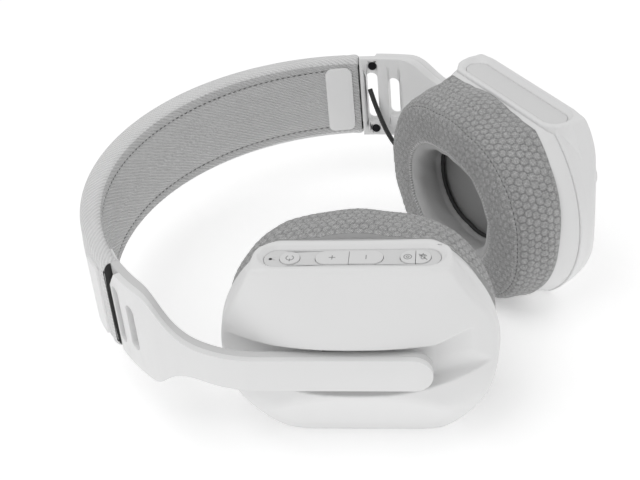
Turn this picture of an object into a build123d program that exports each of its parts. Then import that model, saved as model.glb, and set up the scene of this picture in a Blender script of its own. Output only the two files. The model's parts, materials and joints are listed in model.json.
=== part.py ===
"""A wireless over-ear gaming headset, lying on the front edges of its two ear cups.

X points to the wearer's right, Y towards the crown of the headband and Z towards the back of the head.
The origin is under the middle of the headset, on the surface it lies on. Everything that both sides share
is modelled once, on the left, and mirrored.
"""
from build123d import *
from math import atan2, cos, degrees, pi, radians, sin, sqrt, tan
import os

os.makedirs("parts", exist_ok=True)

# --- Driving dimensions (millimetres and degrees) ---

# Headband: a round arch whose distances are measured along its inner face, from the crown
band_radius = 93.0
band_width = 38.0
band_crown_thickness = 9.8
band_end_thickness = 6.4
band_end_angle = 61.4
sleeve_skin = 1.2
sleeve_side_wall = 1.8
sleeve_edge_radius = 2.6
strip_depth = 2.4          # from the sleeve's outer face to the steel strip
strip_thickness = 0.8
strip_width = 24.0
foam_gap = 0.1
foam_end_angle = 51.0
clamp_plate_size = (11.5, 30.5)
clamp_plate_thickness = 1.2
clamp_plate_corner = 3.0
clamp_plate_distance = 90.4

# Arms: they follow the arch, bend inward round an elbow and run straight down the cup
arm_frame_thickness = 3.0
arm_cover_thickness = 2.2
arm_bend_start = 91.0
elbow_radius = 40.0
arm_straight = 58.0
arm_shoulder = -75.0       # down the cup: where the full-width part ends
arm_waist = -52.0          # and where the narrow blade starts
arm_blade_half_width = 6.5
cover_gap = 1.3            # between the sleeve's end and the arm's cover
rear_corner_cut = (7.0, 8.0)
tongue_width = 26.0
tongue_length = 11.0
tongue_low = 1.6
slot_width = 5.0
slot_distances = (104.8, 114.3)
slot_lengths = (24.6, 19.5)
screw_distance = 105.4
screw_offset = 15.6
screw_head_radius = 1.8
screw_head_height = 1.0
screw_head_proud = 0.3
screw_shank_radius = 0.9
screw_reach = 4.2

# Cups: p runs down the cup, q to the rear and n outward from the ear
cup_lean = 27.4            # the cups' lower ends lean towards each other
cup_x = 29.4
cup_drop = 117.6
cup_radius = 47.8
cup_offset = -4.4          # q of the cup's middle: the arm crosses the cup behind it
rear_flat = 34.9
front_flat = 43.1
outline_corner = 7.0
pad_face = 1.0             # n of the pad's soft face
pad_back = 17.1
pad_size = (92.5, 77.0)
pad_corner = 35.0
ear_opening = (48.0, 38.0)
ear_opening_corner = 18.0
pad_edge_radius = 6.5
ring_back = 18.7
cloth_thickness = 0.5
cloth_size = (56.0, 46.0)
cloth_corner = 21.0
housing_face = 18.8
housing_taper = 3.5        # how much smaller the housing is at the pad than at the seam
baffle_thickness = 2.0
seam = 29.5                # n of the joint between inner housing and outer cover
wall = 2.0
dome_top = 54.5
dome_radius = 72.0
facet_edge = 43.4          # n where the rear facet meets the sloping outer face
front_edge = 35.0
top_half_width = 10.0
shoulder_offset = 6.0       # q of the axis of the cone that rounds off the front corners
shoulder_radius = 54.7      # the cone's radius at n = shoulder_n
shoulder_n = 35.5
shoulder_slope = 0.9
fit_gap = 0.1

# Valley in the outer cover that the arm lies in
valley_floor = 46.0
valley_radius = 140.0
valley_half_width = 7.4
valley_flare = 0.2         # sideways per millimetre outward

# Rear bar with the controls
bar_centre = 34.8
bar_size = (66.0, 16.5)
bar_depth = 6.0
recess_size = (62.0, 13.0)
recess_floor_size = (58.6, 9.6)
recess_depth = 1.5
panel_thickness = 1.2
panel_window = (57.0, 9.0)
button_height = 7.0
button_rise = 0.35
button_gap = 0.15
button_travel = 0.8
flange_height = 8.4
flange_thickness = 0.7
flange_inset = 0.8
stem_radius = 1.0
button_spans = {
    "volume_up_button": (-12.0, -1.05),
    "volume_down_button": (-0.85, 10.3),
    "mode_button": (15.9, 20.8),
    "mic_mute_button": (21.0, 25.9),
}
power_button_p = -20.5
power_button_radius = 3.3
light_p = -27.0
light_radius = 0.6

# Pivot of each cup on its arm
pivot_p = -8.0
pivot_n = 38.0
slide_travel = 22.0
slide_clearance = 0.1
pin_radius = 1.5
pin_clearance = 0.05
pin_length = 15.0
neck_radius = 2.5
neck_hole_radius = 4.2
carriage_size = (12.0, 8.6)
carriage_thickness = 1.4
pivot_block = (6.0, 6.4, 5.8)
gimbal_size = (16.0, 15.0, 6.0)
gimbal_window = (8.4, 7.0)
stub_reach = 11.4
ear_span = (8.4, 11.6)
ear_width = 8.0
ear_top = 40.5
bracket_size = (30.0, 40.0)
bracket_thickness = 1.6
bracket_top = 32.2
boss_spacing = (22.0, 32.0)
boss_radius = 2.6
pilot_radius = 1.1
pilot_depth = 7.0
bracket_screw_head = (2.1, 1.2)

# Driver, boards, battery and socket
driver_radius = 18.9
driver_flange_radius = 20.5
driver_flange_thickness = 1.2
driver_back = 23.3
basket_radius = 15.0
magnet_radius = 9.0
magnet_back = 25.8
diaphragm_radius = 17.3
diaphragm_thickness = 0.3
main_board_size = (46.0, 12.0, 1.2)
board_q = -31.0
board_n = 23.8
button_board_q = 28.4
button_board_size = (54.0, 9.0, 1.0)
switch_radius = 1.4
switch_height = 0.8
battery_size = (34.0, 13.0, 6.6)
socket_size = (7.4, 8.9, 3.2)
socket_n = 24.3
microphone_size = (3.0, 2.4, 1.1)

# Audio wire from the arm's first slot to the top of the cup
wire_radius = 1.05
grommet_radius = 2.3
grommet_at = (-16.0, 23.8)  # q and n of the grommet in the housing's top end
grommet_span = (43.0, 46.8)

# --- Derived values and frames ---

half_band = band_width / 2
lean = radians(cup_lean)
end_angle = radians(band_end_angle)
bend_angle = radians(arm_bend_start)
arm_thickness = arm_frame_thickness + arm_cover_thickness
headset_length = 186.563
crown_y = headset_length / 2 - band_crown_thickness

headband_at = Location((0, crown_y, front_flat))
cup_at = headband_at * Plane(
    origin=(-cup_x, -cup_drop, 0),
    x_dir=(sin(lean), -cos(lean), 0),
    z_dir=(-cos(lean), -sin(lean), 0),
).location
pivot_at = cup_at * Pos(pivot_p, 0, pivot_n)
ear_at = cup_at * Pos(0, cup_offset, 0)

end_radius = band_radius + band_end_thickness
end_x = end_radius * sin(end_angle)
end_u = end_radius * cos(end_angle) - band_radius
outer_centre = (end_x**2 + end_u**2 - band_crown_thickness**2) / (2 * (end_u - band_crown_thickness))
outer_radius = band_crown_thickness - outer_centre
elbow_reach = band_radius - elbow_radius
elbow_centre = (-elbow_reach * sin(bend_angle), elbow_reach * cos(bend_angle) - band_radius)
elbow_end = (elbow_centre[0] - elbow_radius * cos(lean), elbow_centre[1] - elbow_radius * sin(lean))
arm_inner = -(elbow_end[0] + cup_x) * cos(lean) - (elbow_end[1] + cup_drop) * sin(lean)
arm_tip = (elbow_end[0] + cup_x) * sin(lean) - (elbow_end[1] + cup_drop) * cos(lean) + arm_straight


def placed(frame, plane):
    """A plane given in a frame of the headset."""
    return Plane(frame * plane.location)


def cup_level(n):
    """Plane across the left cup at this height: X down the cup, Y to the rear, Z outward."""
    return placed(cup_at, Plane.XY.offset(n))


def ear_level(n):
    """The same plane, with its origin in the middle of the cup's outline."""
    return placed(ear_at, Plane.XY.offset(n))


def cup_side(q):
    """Plane along the left cup at this rearward place: X down the cup, Y outward, Z to the front."""
    return placed(cup_at, Plane.XZ.offset(-q))


def cup_section(p):
    """Plane across the left cup at this place down it: X to the rear, Y outward, Z down."""
    return placed(cup_at, Plane.YZ.offset(p))


def on_band(distance, height=0.0):
    """Plane on the band's inner face, left half: X down the band, Y to the rear, Z outward."""
    angle = distance / band_radius
    radius = band_radius + height
    tangent = Plane(
        origin=(-radius * sin(angle), radius * cos(angle) - band_radius, 0),
        x_dir=(-cos(angle), -sin(angle), 0),
        z_dir=(-sin(angle), cos(angle), 0),
    )
    return placed(headband_at, tangent)


def outer_reach(angle, inset):
    """Distance from the arch's centre to the sleeve's outer face, less an inset, at an angle."""
    rise = outer_centre + band_radius
    return rise * cos(angle) + sqrt((outer_radius - inset) ** 2 - (rise * sin(angle)) ** 2)


def arch_point(radius, angle):
    """Point of the arch's side view at this radius and angle from the crown."""
    return (radius * sin(angle), radius * cos(angle) - band_radius)


def arch_layer(low, high, half_angle):
    """Side view of one layer of the headband between two functions of the angle from the crown."""
    with BuildSketch() as layer:
        with BuildLine():
            ThreePointArc(*[arch_point(low(angle), angle) for angle in (-half_angle, 0, half_angle)])
            ThreePointArc(*[arch_point(high(angle), angle) for angle in (-half_angle, 0, half_angle)])
            for angle in (-half_angle, half_angle):
                Line(arch_point(low(angle), angle), arch_point(high(angle), angle))
        make_face()
    return layer.sketch


def inner_face(height):
    """The band's inner face, raised by a height, as a function of the angle."""
    return lambda angle: band_radius + height


def outer_face(inset):
    """The sleeve's outer face, lowered by an inset, as a function of the angle."""
    return lambda angle: outer_reach(angle, inset)


def arm_layer(low, high, start):
    """Side view of one layer of the left arm, from an angle past the crown to the arm's tip."""
    down_cup = (sin(lean) * arm_straight, -cos(lean) * arm_straight)
    with BuildSketch() as layer:
        with BuildLine():
            ends = []
            for lift in (low, high):
                arch = CenterArc((0, -band_radius), band_radius + lift, 90 + degrees(start),
                                 arm_bend_start - degrees(start))
                elbow = CenterArc(elbow_centre, elbow_radius + lift, 90 + arm_bend_start,
                                  90 + cup_lean - arm_bend_start)
                run = Line(elbow @ 1, elbow @ 1 + Vector(*down_cup))
                ends.append((arch @ 0, run @ 1))
            Line(ends[0][0], ends[1][0])
            Line(ends[0][1], ends[1][1])
        make_face()
    return layer.sketch


def arm_outline():
    """Front view of the arm: full band width, a waist, and a narrow round-ended blade."""
    top = arm_shoulder - band_width
    blade = arm_blade_half_width
    tip = arm_tip - blade
    pull = (arm_waist - arm_shoulder) * 0.33
    with BuildSketch() as outline:
        with BuildLine():
            for side in (1, -1):
                Line((top, side * half_band), (arm_shoulder, side * half_band))
                Bezier((arm_shoulder, side * half_band), (arm_shoulder + pull, side * half_band),
                       (arm_waist - 2 * pull, side * blade), (arm_waist, side * blade))
                Line((arm_waist, side * blade), (tip, side * blade))
            ThreePointArc((tip, blade), (arm_tip, 0), (tip, -blade))
            Line((top, half_band), (top, -half_band))
        make_face()
    return outline.sketch


def cup_outline(inset):
    """The cup's outline: a circle with a flat at the rear and one at the front."""
    with BuildSketch() as outline:
        Circle(cup_radius - inset)
        with Locations((0, (rear_flat - front_flat) / 2 - cup_offset)):
            Rectangle(2 * cup_radius, rear_flat + front_flat - 2 * inset, mode=Mode.INTERSECT)
        fillet(outline.vertices(), outline_corner - inset / 2)
    return outline.sketch


def cover_body(inset):
    """The cover's closed outer shape, or with an inset the space inside its wall."""
    floor = seam - inset
    past = 5.0
    rear_slope = (dome_top - facet_edge) / (rear_flat - top_half_width)
    front_slope = (dome_top - front_edge) / (front_flat - top_half_width)
    with BuildPart() as body:
        with BuildSketch(ear_level(floor)):
            add(cup_outline(inset))
        extrude(amount=dome_top - floor)
        with BuildSketch(cup_section(-cup_radius - past)):
            with BuildLine():
                Polyline(
                    (-front_flat - past, floor - past),
                    (-front_flat - past, front_edge - past * front_slope - inset),
                    (-top_half_width, dome_top - inset),
                    (top_half_width, dome_top - inset),
                    (rear_flat + past, facet_edge - past * rear_slope - inset),
                    (rear_flat + past, floor - past),
                    close=True,
                )
            make_face()
        extrude(amount=2 * (cup_radius + past), mode=Mode.INTERSECT)
        with BuildSketch(cup_side(cup_radius)):
            with Locations((0, dome_top - dome_radius)):
                Circle(dome_radius - inset)
        extrude(amount=2 * cup_radius, mode=Mode.INTERSECT)
        with Locations(cup_at * Pos(0, shoulder_offset, floor)):
            Cone(
                shoulder_radius - inset + (shoulder_n - floor) / shoulder_slope,
                shoulder_radius - inset - (dome_top - shoulder_n) / shoulder_slope,
                dome_top - floor,
                align=(Align.CENTER, Align.CENTER, Align.MIN),
                mode=Mode.INTERSECT,
            )
    return body.part


def valley(grow):
    """The groove that the arm lies in, or with `grow` the groove and the wall around it."""
    low, high = valley_floor - 12, valley_floor + 12
    half_low = valley_half_width + grow - 12 * valley_flare
    half_high = valley_half_width + grow + 12 * valley_flare
    with BuildPart() as groove:
        with BuildSketch(cup_section(-cup_radius - wall)):
            Polygon((-half_low, low), (half_low, low), (half_high, high), (-half_high, high), align=None)
        extrude(amount=2 * (cup_radius + wall))
        with BuildSketch(cup_side(0)):
            with Locations((0, valley_floor - valley_radius)):
                Circle(valley_radius - grow)
        extrude(amount=cup_radius, both=True, mode=Mode.SUBTRACT)
    return groove.part


def save(piece, name):
    """Label one finished piece and write it as its own STEP file."""
    piece.label = name
    export_step(piece, f"parts/{name}.step")


def save_pair(piece, name):
    """Write a left piece and its mirror image for the right side."""
    save(mirror(piece, about=Plane.YZ), f"right_{name}")
    save(piece, f"left_{name}")


arch_side = placed(headband_at, Plane.XY)

# --- Headband: fabric sleeve, two foams, steel strip and the clamp plates at its ends ---

with BuildPart() as headband_sleeve:
    with BuildSketch(arch_side):
        add(arch_layer(inner_face(0), outer_face(0), end_angle))
    extrude(amount=half_band, both=True)
    sleeve_faces = headband_sleeve.faces().sort_by(Axis.Z)
    for side_face in (sleeve_faces[-1], sleeve_faces[0]):
        fillet(side_face.edges().filter_by(GeomType.CIRCLE), sleeve_edge_radius)
    with BuildSketch(arch_side):
        add(arch_layer(inner_face(sleeve_skin), outer_face(sleeve_skin), end_angle + radians(2)))
    extrude(amount=half_band - sleeve_side_wall, both=True, mode=Mode.SUBTRACT)
save(headband_sleeve.part, "headband_sleeve")

strip_inside = strip_depth + strip_thickness
with BuildPart() as headband_spring_strip:
    with BuildSketch(arch_side):
        add(arch_layer(outer_face(strip_inside), outer_face(strip_depth), end_angle))
    extrude(amount=strip_width / 2, both=True)
save(headband_spring_strip.part, "headband_spring_strip")

foam_end = radians(foam_end_angle)
foam_half_width = half_band - sleeve_side_wall - foam_gap
with BuildPart() as headband_cushion_foam:
    with BuildSketch(arch_side):
        add(arch_layer(inner_face(sleeve_skin + foam_gap), outer_face(strip_inside + foam_gap), foam_end))
    extrude(amount=foam_half_width, both=True)
save(headband_cushion_foam.part, "headband_cushion_foam")

with BuildPart() as headband_top_foam:
    with BuildSketch(arch_side):
        add(arch_layer(outer_face(strip_depth - foam_gap), outer_face(sleeve_skin + foam_gap), foam_end))
    extrude(amount=foam_half_width, both=True)
save(headband_top_foam.part, "headband_top_foam")

with BuildPart() as clamp_plate_inner:
    with BuildSketch(arch_side):
        with Locations((0, -band_radius)):
            Circle(band_radius)
            Circle(band_radius - clamp_plate_thickness, mode=Mode.SUBTRACT)
    extrude(amount=half_band, both=True)
    with BuildSketch(on_band(clamp_plate_distance, -band_crown_thickness)):
        RectangleRounded(*clamp_plate_size, clamp_plate_corner)
    extrude(amount=3 * band_crown_thickness, mode=Mode.INTERSECT)
save_pair(clamp_plate_inner.part, "clamp_plate_inner")

with BuildPart() as clamp_plate_outer:
    with BuildSketch(arch_side):
        with Locations((0, outer_centre)):
            Circle(outer_radius + clamp_plate_thickness)
            Circle(outer_radius, mode=Mode.SUBTRACT)
    extrude(amount=half_band, both=True)
    with BuildSketch(on_band(clamp_plate_distance, -band_crown_thickness)):
        RectangleRounded(*clamp_plate_size, clamp_plate_corner)
    extrude(amount=3 * band_crown_thickness, mode=Mode.INTERSECT)
save_pair(clamp_plate_outer.part, "clamp_plate_outer")

# --- Arms: an inner frame with a tongue in the sleeve, an outer cover, and two screws between them ---

arm_start = end_angle + fit_gap / band_radius
cover_start = end_angle + cover_gap / band_radius
tongue_start = end_angle - tongue_length / band_radius
pocket_floor = arm_inner + arm_frame_thickness - carriage_thickness - 2 * slide_clearance
pocket_half = carriage_size[0] / 2 + slide_clearance
neck_slot_half = neck_radius + 2 * slide_clearance


def cut_slots():
    """Cut the two long slots through the layer being built."""
    for distance, length in zip(slot_distances, slot_lengths):
        with BuildSketch(on_band(distance, -1)) as slot:
            SlotOverall(length, slot_width, rotation=90)
        extrude(slot.sketch, amount=arm_thickness + 2, mode=Mode.SUBTRACT)


def screw_rounds(radius, low, high, mode):
    """Add or cut the two round pieces of the arm screws between two heights over the arm's inner face."""
    with BuildSketch(on_band(screw_distance, low)) as rounds:
        with Locations((0, screw_offset), (0, -screw_offset)):
            Circle(radius)
    extrude(rounds.sketch, amount=high - low, mode=mode)


def cut_groove(low, height, half_width, end_reach):
    """Cut a straight groove along the arm, over the pivot's whole travel."""
    with BuildSketch(cup_level(low)) as groove:
        with Locations((pivot_p + slide_travel / 2, 0)):
            Rectangle(slide_travel + 2 * end_reach, 2 * half_width)
    extrude(groove.sketch, amount=height, mode=Mode.SUBTRACT)


with BuildPart() as arm_frame:
    with BuildSketch(arch_side):
        add(arm_layer(0, arm_frame_thickness, arm_start))
    extrude(amount=half_band, both=True)
    with BuildSketch(cup_level(-cup_radius)):
        add(arm_outline())
    extrude(amount=3 * cup_radius, mode=Mode.INTERSECT)
    cut_slots()
    screw_rounds(screw_head_radius + fit_gap, -1, screw_head_height - screw_head_proud, Mode.SUBTRACT)
    screw_rounds(screw_shank_radius + fit_gap, 0, arm_thickness, Mode.SUBTRACT)
    cut_groove(pocket_floor, wall, carriage_size[1] / 2 + slide_clearance, pocket_half)
    cut_groove(arm_inner - 1, arm_thickness, neck_slot_half, neck_slot_half)
    with BuildSketch(arch_side):
        add(arch_layer(inner_face(tongue_low), outer_face(strip_inside), arm_start))
        with Locations((0, 0)):
            Rectangle(2 * (band_radius * sin(tongue_start)), 4 * band_radius, mode=Mode.SUBTRACT)
        with Locations((band_radius, 0)):
            Rectangle(2 * band_radius, 4 * band_radius, mode=Mode.SUBTRACT)
    extrude(amount=tongue_width / 2, both=True)
save_pair(arm_frame.part, "arm_frame")

with BuildPart() as arm_cover:
    with BuildSketch(arch_side):
        add(arm_layer(arm_frame_thickness, arm_thickness, cover_start))
    extrude(amount=half_band, both=True)
    with BuildSketch(cup_level(-cup_radius)):
        add(arm_outline())
    extrude(amount=3 * cup_radius, mode=Mode.INTERSECT)
    cut_slots()
    screw_rounds(screw_shank_radius + fit_gap, 0, screw_reach, Mode.SUBTRACT)
    with BuildSketch(on_band(cover_start * band_radius)):
        Polygon((-2, half_band + 1), (-2, half_band - rear_corner_cut[1]), (0, half_band - rear_corner_cut[1]),
                (rear_corner_cut[0], half_band + 1), align=None)
    extrude(amount=2 * arm_thickness, mode=Mode.SUBTRACT)
save_pair(arm_cover.part, "arm_cover")

with BuildPart() as arm_screws:
    screw_rounds(screw_head_radius, -screw_head_proud, screw_head_height - screw_head_proud, Mode.ADD)
    screw_rounds(screw_shank_radius, 0, screw_reach, Mode.ADD)
save_pair(arm_screws.part, "arm_screws")

# --- Pivot: carriage in the arm, gimbal on a pin, bracket in the cup ---

pivot_across = placed(pivot_at, Plane.XZ)

with BuildPart() as slider_carriage:
    with BuildSketch(cup_level(pocket_floor + slide_clearance)):
        with Locations((pivot_p, 0)):
            Rectangle(*carriage_size)
    extrude(amount=carriage_thickness)
    with BuildSketch(placed(pivot_at, Plane.XY)):
        Circle(neck_radius)
    extrude(amount=pocket_floor + slide_clearance - pivot_n)
    with BuildSketch(placed(pivot_at, Plane.XY.offset(-pivot_block[2] / 2))):
        Rectangle(*pivot_block[:2])
    extrude(amount=pivot_block[2])
    with BuildSketch(pivot_across):
        Circle(pin_radius + pin_clearance)
    extrude(amount=pivot_block[1], both=True, mode=Mode.SUBTRACT)
save_pair(slider_carriage.part, "slider_carriage")

with BuildPart() as gimbal:
    with BuildSketch(placed(pivot_at, Plane.XY.offset(-gimbal_size[2] / 2))):
        Rectangle(*gimbal_size[:2])
        Rectangle(*gimbal_window, mode=Mode.SUBTRACT)
    extrude(amount=gimbal_size[2])
    for side in (-1, 1):
        with BuildSketch(placed(pivot_at, Plane.YZ.offset(side * gimbal_size[0] / 2))):
            Circle(pin_radius)
        extrude(amount=side * (stub_reach - gimbal_size[0] / 2))
    with BuildSketch(pivot_across):
        Circle(pin_radius)
    extrude(amount=gimbal_size[1], both=True, mode=Mode.SUBTRACT)
save_pair(gimbal.part, "gimbal")

with BuildPart() as tilt_pin:
    with BuildSketch(pivot_across):
        Circle(pin_radius)
    extrude(amount=pin_length / 2, both=True)
save_pair(tilt_pin.part, "tilt_pin")

with BuildPart() as pivot_bracket:
    with BuildSketch(cup_level(bracket_top - bracket_thickness)):
        with Locations((pivot_p, 0)):
            RectangleRounded(*bracket_size, 3)
            with GridLocations(*boss_spacing, 2, 2):
                Circle(pilot_radius + fit_gap, mode=Mode.SUBTRACT)
    extrude(amount=bracket_thickness)
    for side in (-1, 1):
        with BuildSketch(placed(pivot_at, Plane.YZ.offset(side * ear_span[0]))):
            with Locations((0, (ear_top + bracket_top) / 2 - pivot_n)):
                Rectangle(ear_width, ear_top - bracket_top)
            Circle(pin_radius + pin_clearance, mode=Mode.SUBTRACT)
        extrude(amount=side * (ear_span[1] - ear_span[0]))
save_pair(pivot_bracket.part, "pivot_bracket")

with BuildPart() as bracket_screws:
    with BuildSketch(cup_level(bracket_top - bracket_thickness)):
        with Locations((pivot_p, 0)):
            with GridLocations(*boss_spacing, 2, 2):
                Circle(bracket_screw_head[0])
    extrude(amount=-bracket_screw_head[1])
    with BuildSketch(cup_level(bracket_top - bracket_thickness)):
        with Locations((pivot_p, 0)):
            with GridLocations(*boss_spacing, 2, 2):
                Circle(pilot_radius)
    extrude(amount=pilot_depth)
save_pair(bracket_screws.part, "bracket_screws")

# --- Cup shell: outer cover with the valley and the rear bar, inner housing, rear panels ---

panel_top = rear_flat - recess_depth
panel_back = panel_top - panel_thickness


def bar_slot(q, size, depth, mode, taper=0.0):
    """Stadium on the rear bar, from this q towards the inside."""
    with BuildSketch(cup_side(q)) as slot:
        with Locations((0, bar_centre)):
            SlotOverall(*size)
    extrude(slot.sketch, amount=depth, mode=mode, taper=taper)


with BuildPart() as bosses:
    with BuildSketch(cup_level(bracket_top)):
        with Locations((pivot_p, 0)):
            with GridLocations(*boss_spacing, 2, 2):
                Circle(boss_radius)
    extrude(amount=dome_top - bracket_top)
    add(cover_body(wall / 2), mode=Mode.INTERSECT)

with BuildPart() as outer_cover:
    add(cover_body(0))
    add(cover_body(wall) - valley(wall), mode=Mode.SUBTRACT)
    add(valley(0), mode=Mode.SUBTRACT)
    add(bosses.part)
    with BuildSketch(cup_level(bracket_top)):
        with Locations((pivot_p, 0)):
            with GridLocations(*boss_spacing, 2, 2):
                Circle(pilot_radius)
    extrude(amount=pilot_depth, mode=Mode.SUBTRACT)
    with BuildSketch(cup_level(pivot_n)):
        with Locations((pivot_p, 0)):
            Circle(neck_hole_radius)
    extrude(amount=dome_top - pivot_n, mode=Mode.SUBTRACT)
    bar_slot(rear_flat, bar_size, bar_depth, Mode.ADD)
    taper = degrees(atan2(recess_size[1] - recess_floor_size[1], 2 * recess_depth))
    bar_slot(rear_flat, recess_size, recess_depth, Mode.SUBTRACT, taper)
    bar_slot(panel_top, recess_floor_size, panel_thickness, Mode.SUBTRACT)
    bar_slot(panel_back, panel_window, bar_depth, Mode.SUBTRACT)
save_pair(outer_cover.part, "outer_cover")


def shell_between(low_n, low_inset, high_n, high_inset, mode):
    """Loft between two sizes of the cup's outline, added to or cut from the piece being built."""
    with BuildSketch(ear_level(low_n)) as low:
        add(cup_outline(low_inset))
    with BuildSketch(ear_level(high_n)) as high:
        add(cup_outline(high_inset))
    loft([low.sketch, high.sketch], mode=mode)


with BuildPart() as inner_housing:
    shell_between(housing_face, housing_taper, seam - fit_gap, 0, Mode.ADD)
    shell_between(housing_face, housing_taper + wall, seam - fit_gap, wall, Mode.SUBTRACT)
    bar_slot(rear_flat + 1, [size + 2 * fit_gap for size in bar_size], bar_depth + 5, Mode.SUBTRACT)
    with BuildSketch(cup_section(-cup_radius)):
        with Locations(grommet_at):
            Circle(grommet_radius)
    extrude(amount=cup_radius / 2, mode=Mode.SUBTRACT)
save(mirror(inner_housing.part, about=Plane.YZ), "right_inner_housing")

with BuildPart() as left_housing:
    add(inner_housing.part)
    with BuildSketch(cup_section(cup_radius + wall)):
        with Locations((0, socket_n)):
            Rectangle(socket_size[1] + 2 * fit_gap, socket_size[2] + 2 * fit_gap)
    extrude(amount=-socket_size[0] - 2 * wall, mode=Mode.SUBTRACT)
save(left_housing.part, "left_inner_housing")

with BuildPart() as blank_panel:
    bar_slot(panel_top, [size - 2 * fit_gap for size in recess_floor_size], panel_thickness, Mode.ADD)
save(mirror(blank_panel.part, about=Plane.YZ), "right_rear_panel")

# --- Left controls: buttons through the panel, a light, and the board that they press ---


def cap_sketch(name, grow=0.0):
    """Outline of one button's cap: a piece of a stadium, with its split side straight."""
    start, end = button_spans[name]
    rounded_start = name in ("volume_up_button", "mode_button")
    reach = end - start + button_height
    middle = (start + reach / 2) if rounded_start else (end - reach / 2)
    with BuildSketch() as cap:
        with Locations((middle, bar_centre)):
            SlotOverall(reach + 2 * grow, button_height + 2 * grow)
        with Locations(((start + end) / 2, bar_centre)):
            Rectangle(end - start + 2 * grow, button_height + 2 * grow, mode=Mode.INTERSECT)
    return cap.sketch


with BuildPart() as control_panel:
    add(blank_panel.part)
    with BuildSketch(cup_side(panel_top)):
        for name in button_spans:
            add(cap_sketch(name, button_gap))
        with Locations((power_button_p, bar_centre)):
            Circle(power_button_radius + button_gap)
        with Locations((light_p, bar_centre)):
            Circle(light_radius)
    extrude(amount=panel_thickness, mode=Mode.SUBTRACT)
save(control_panel.part, "left_control_panel")

flange_top = panel_back - fit_gap
stem_tip = button_board_q + switch_height + button_travel + fit_gap
for name, (start, end) in button_spans.items():
    with BuildPart() as button:
        with BuildSketch(cup_side(panel_top + button_rise)):
            add(cap_sketch(name))
        extrude(amount=button_rise + panel_thickness + fit_gap)
        with BuildSketch(cup_side(flange_top)):
            with Locations(((start + end) / 2, bar_centre)):
                Rectangle(end - start - flange_inset, flange_height)
        extrude(amount=flange_thickness)
        with BuildSketch(cup_side(flange_top)):
            with Locations(((start + end) / 2, bar_centre)):
                Circle(stem_radius)
        extrude(amount=flange_top - stem_tip)
    save(button.part, name)

with BuildPart() as power_button:
    with BuildSketch(cup_side(panel_top + button_rise)):
        with Locations((power_button_p, bar_centre)):
            Circle(power_button_radius)
    extrude(amount=button_rise + panel_thickness + fit_gap)
    with BuildSketch(cup_side(flange_top)):
        with Locations((power_button_p, bar_centre)):
            Circle(flange_height / 2)
    extrude(amount=flange_thickness)
    with BuildSketch(cup_side(flange_top)):
        with Locations((power_button_p, bar_centre)):
            Circle(stem_radius)
    extrude(amount=flange_top - stem_tip)
save(power_button.part, "power_button")

with BuildPart() as status_light:
    with BuildSketch(cup_side(panel_top)):
        with Locations((light_p, bar_centre)):
            Circle(light_radius - fit_gap)
    extrude(amount=panel_top - button_board_q)
save(status_light.part, "status_light")

switch_places = [(sum(span) / 2, bar_centre) for span in button_spans.values()]
switch_places.append((power_button_p, bar_centre))
with BuildPart() as button_board:
    with BuildSketch(cup_side(button_board_q)):
        with Locations((0, bar_centre)):
            Rectangle(button_board_size[0], button_board_size[1])
    extrude(amount=button_board_size[2])
    with BuildSketch(cup_side(button_board_q + switch_height)):
        with Locations(*switch_places):
            Circle(switch_radius)
    extrude(amount=switch_height)
save(button_board.part, "button_board")

# --- Ear side: baffle, driver, cloth, pad ring and ear pad ---

with BuildPart() as baffle:
    with BuildSketch(ear_level(housing_face + fit_gap)):
        add(cup_outline(housing_taper + wall + fit_gap))
        Circle(driver_radius + fit_gap, mode=Mode.SUBTRACT)
    extrude(amount=baffle_thickness)
save_pair(baffle.part, "baffle")

baffle_back = housing_face + fit_gap + baffle_thickness
with BuildPart() as driver_frame:
    with BuildSketch(ear_level(housing_face + fit_gap)):
        Circle(driver_radius)
    extrude(amount=baffle_thickness + driver_flange_thickness)
    with BuildSketch(ear_level(baffle_back)):
        Circle(driver_flange_radius)
    extrude(amount=driver_flange_thickness)
    with BuildSketch(ear_level(baffle_back + driver_flange_thickness)):
        Circle(basket_radius)
    extrude(amount=driver_back - baffle_back - driver_flange_thickness)
    with BuildSketch(ear_level(housing_face)):
        Circle(diaphragm_radius + fit_gap)
    extrude(amount=baffle_thickness, mode=Mode.SUBTRACT)
save_pair(driver_frame.part, "driver_frame")

with BuildPart() as driver_magnet:
    with BuildSketch(ear_level(driver_back)):
        Circle(magnet_radius)
    extrude(amount=magnet_back - driver_back)
save_pair(driver_magnet.part, "driver_magnet")

with BuildPart() as driver_diaphragm:
    with BuildSketch(ear_level(housing_face + 3 * fit_gap)):
        Circle(diaphragm_radius)
    extrude(amount=diaphragm_thickness)
save_pair(driver_diaphragm.part, "driver_diaphragm")

with BuildPart() as pad_ring:
    with BuildSketch(ear_level(pad_back + fit_gap)):
        RectangleRounded(pad_size[0] - 2 * wall, pad_size[1] - 2 * wall, pad_corner - wall)
        RectangleRounded(*cloth_size, cloth_corner, mode=Mode.SUBTRACT)
    extrude(amount=ring_back - pad_back - fit_gap)
save_pair(pad_ring.part, "pad_ring")

with BuildPart() as acoustic_cloth:
    with BuildSketch(ear_level(pad_back + 2 * fit_gap)):
        RectangleRounded(*cloth_size, cloth_corner)
    extrude(amount=cloth_thickness)
save_pair(acoustic_cloth.part, "acoustic_cloth")

with BuildPart() as ear_pad:
    with BuildSketch(ear_level(pad_face)):
        RectangleRounded(*pad_size, pad_corner)
        RectangleRounded(*ear_opening, ear_opening_corner, mode=Mode.SUBTRACT)
    extrude(amount=pad_back - pad_face)
    fillet(ear_pad.faces().sort_by(Axis(ear_level(0).origin, ear_level(0).z_dir))[0].edges(), pad_edge_radius)
save_pair(ear_pad.part, "ear_pad")

# --- Electronics inside the cups ---

with BuildPart() as main_board:
    with BuildSketch(cup_level(board_n)):
        with Locations((0, board_q)):
            Rectangle(main_board_size[0], main_board_size[1])
    extrude(amount=main_board_size[2])
save(main_board.part, "main_board")

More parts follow.
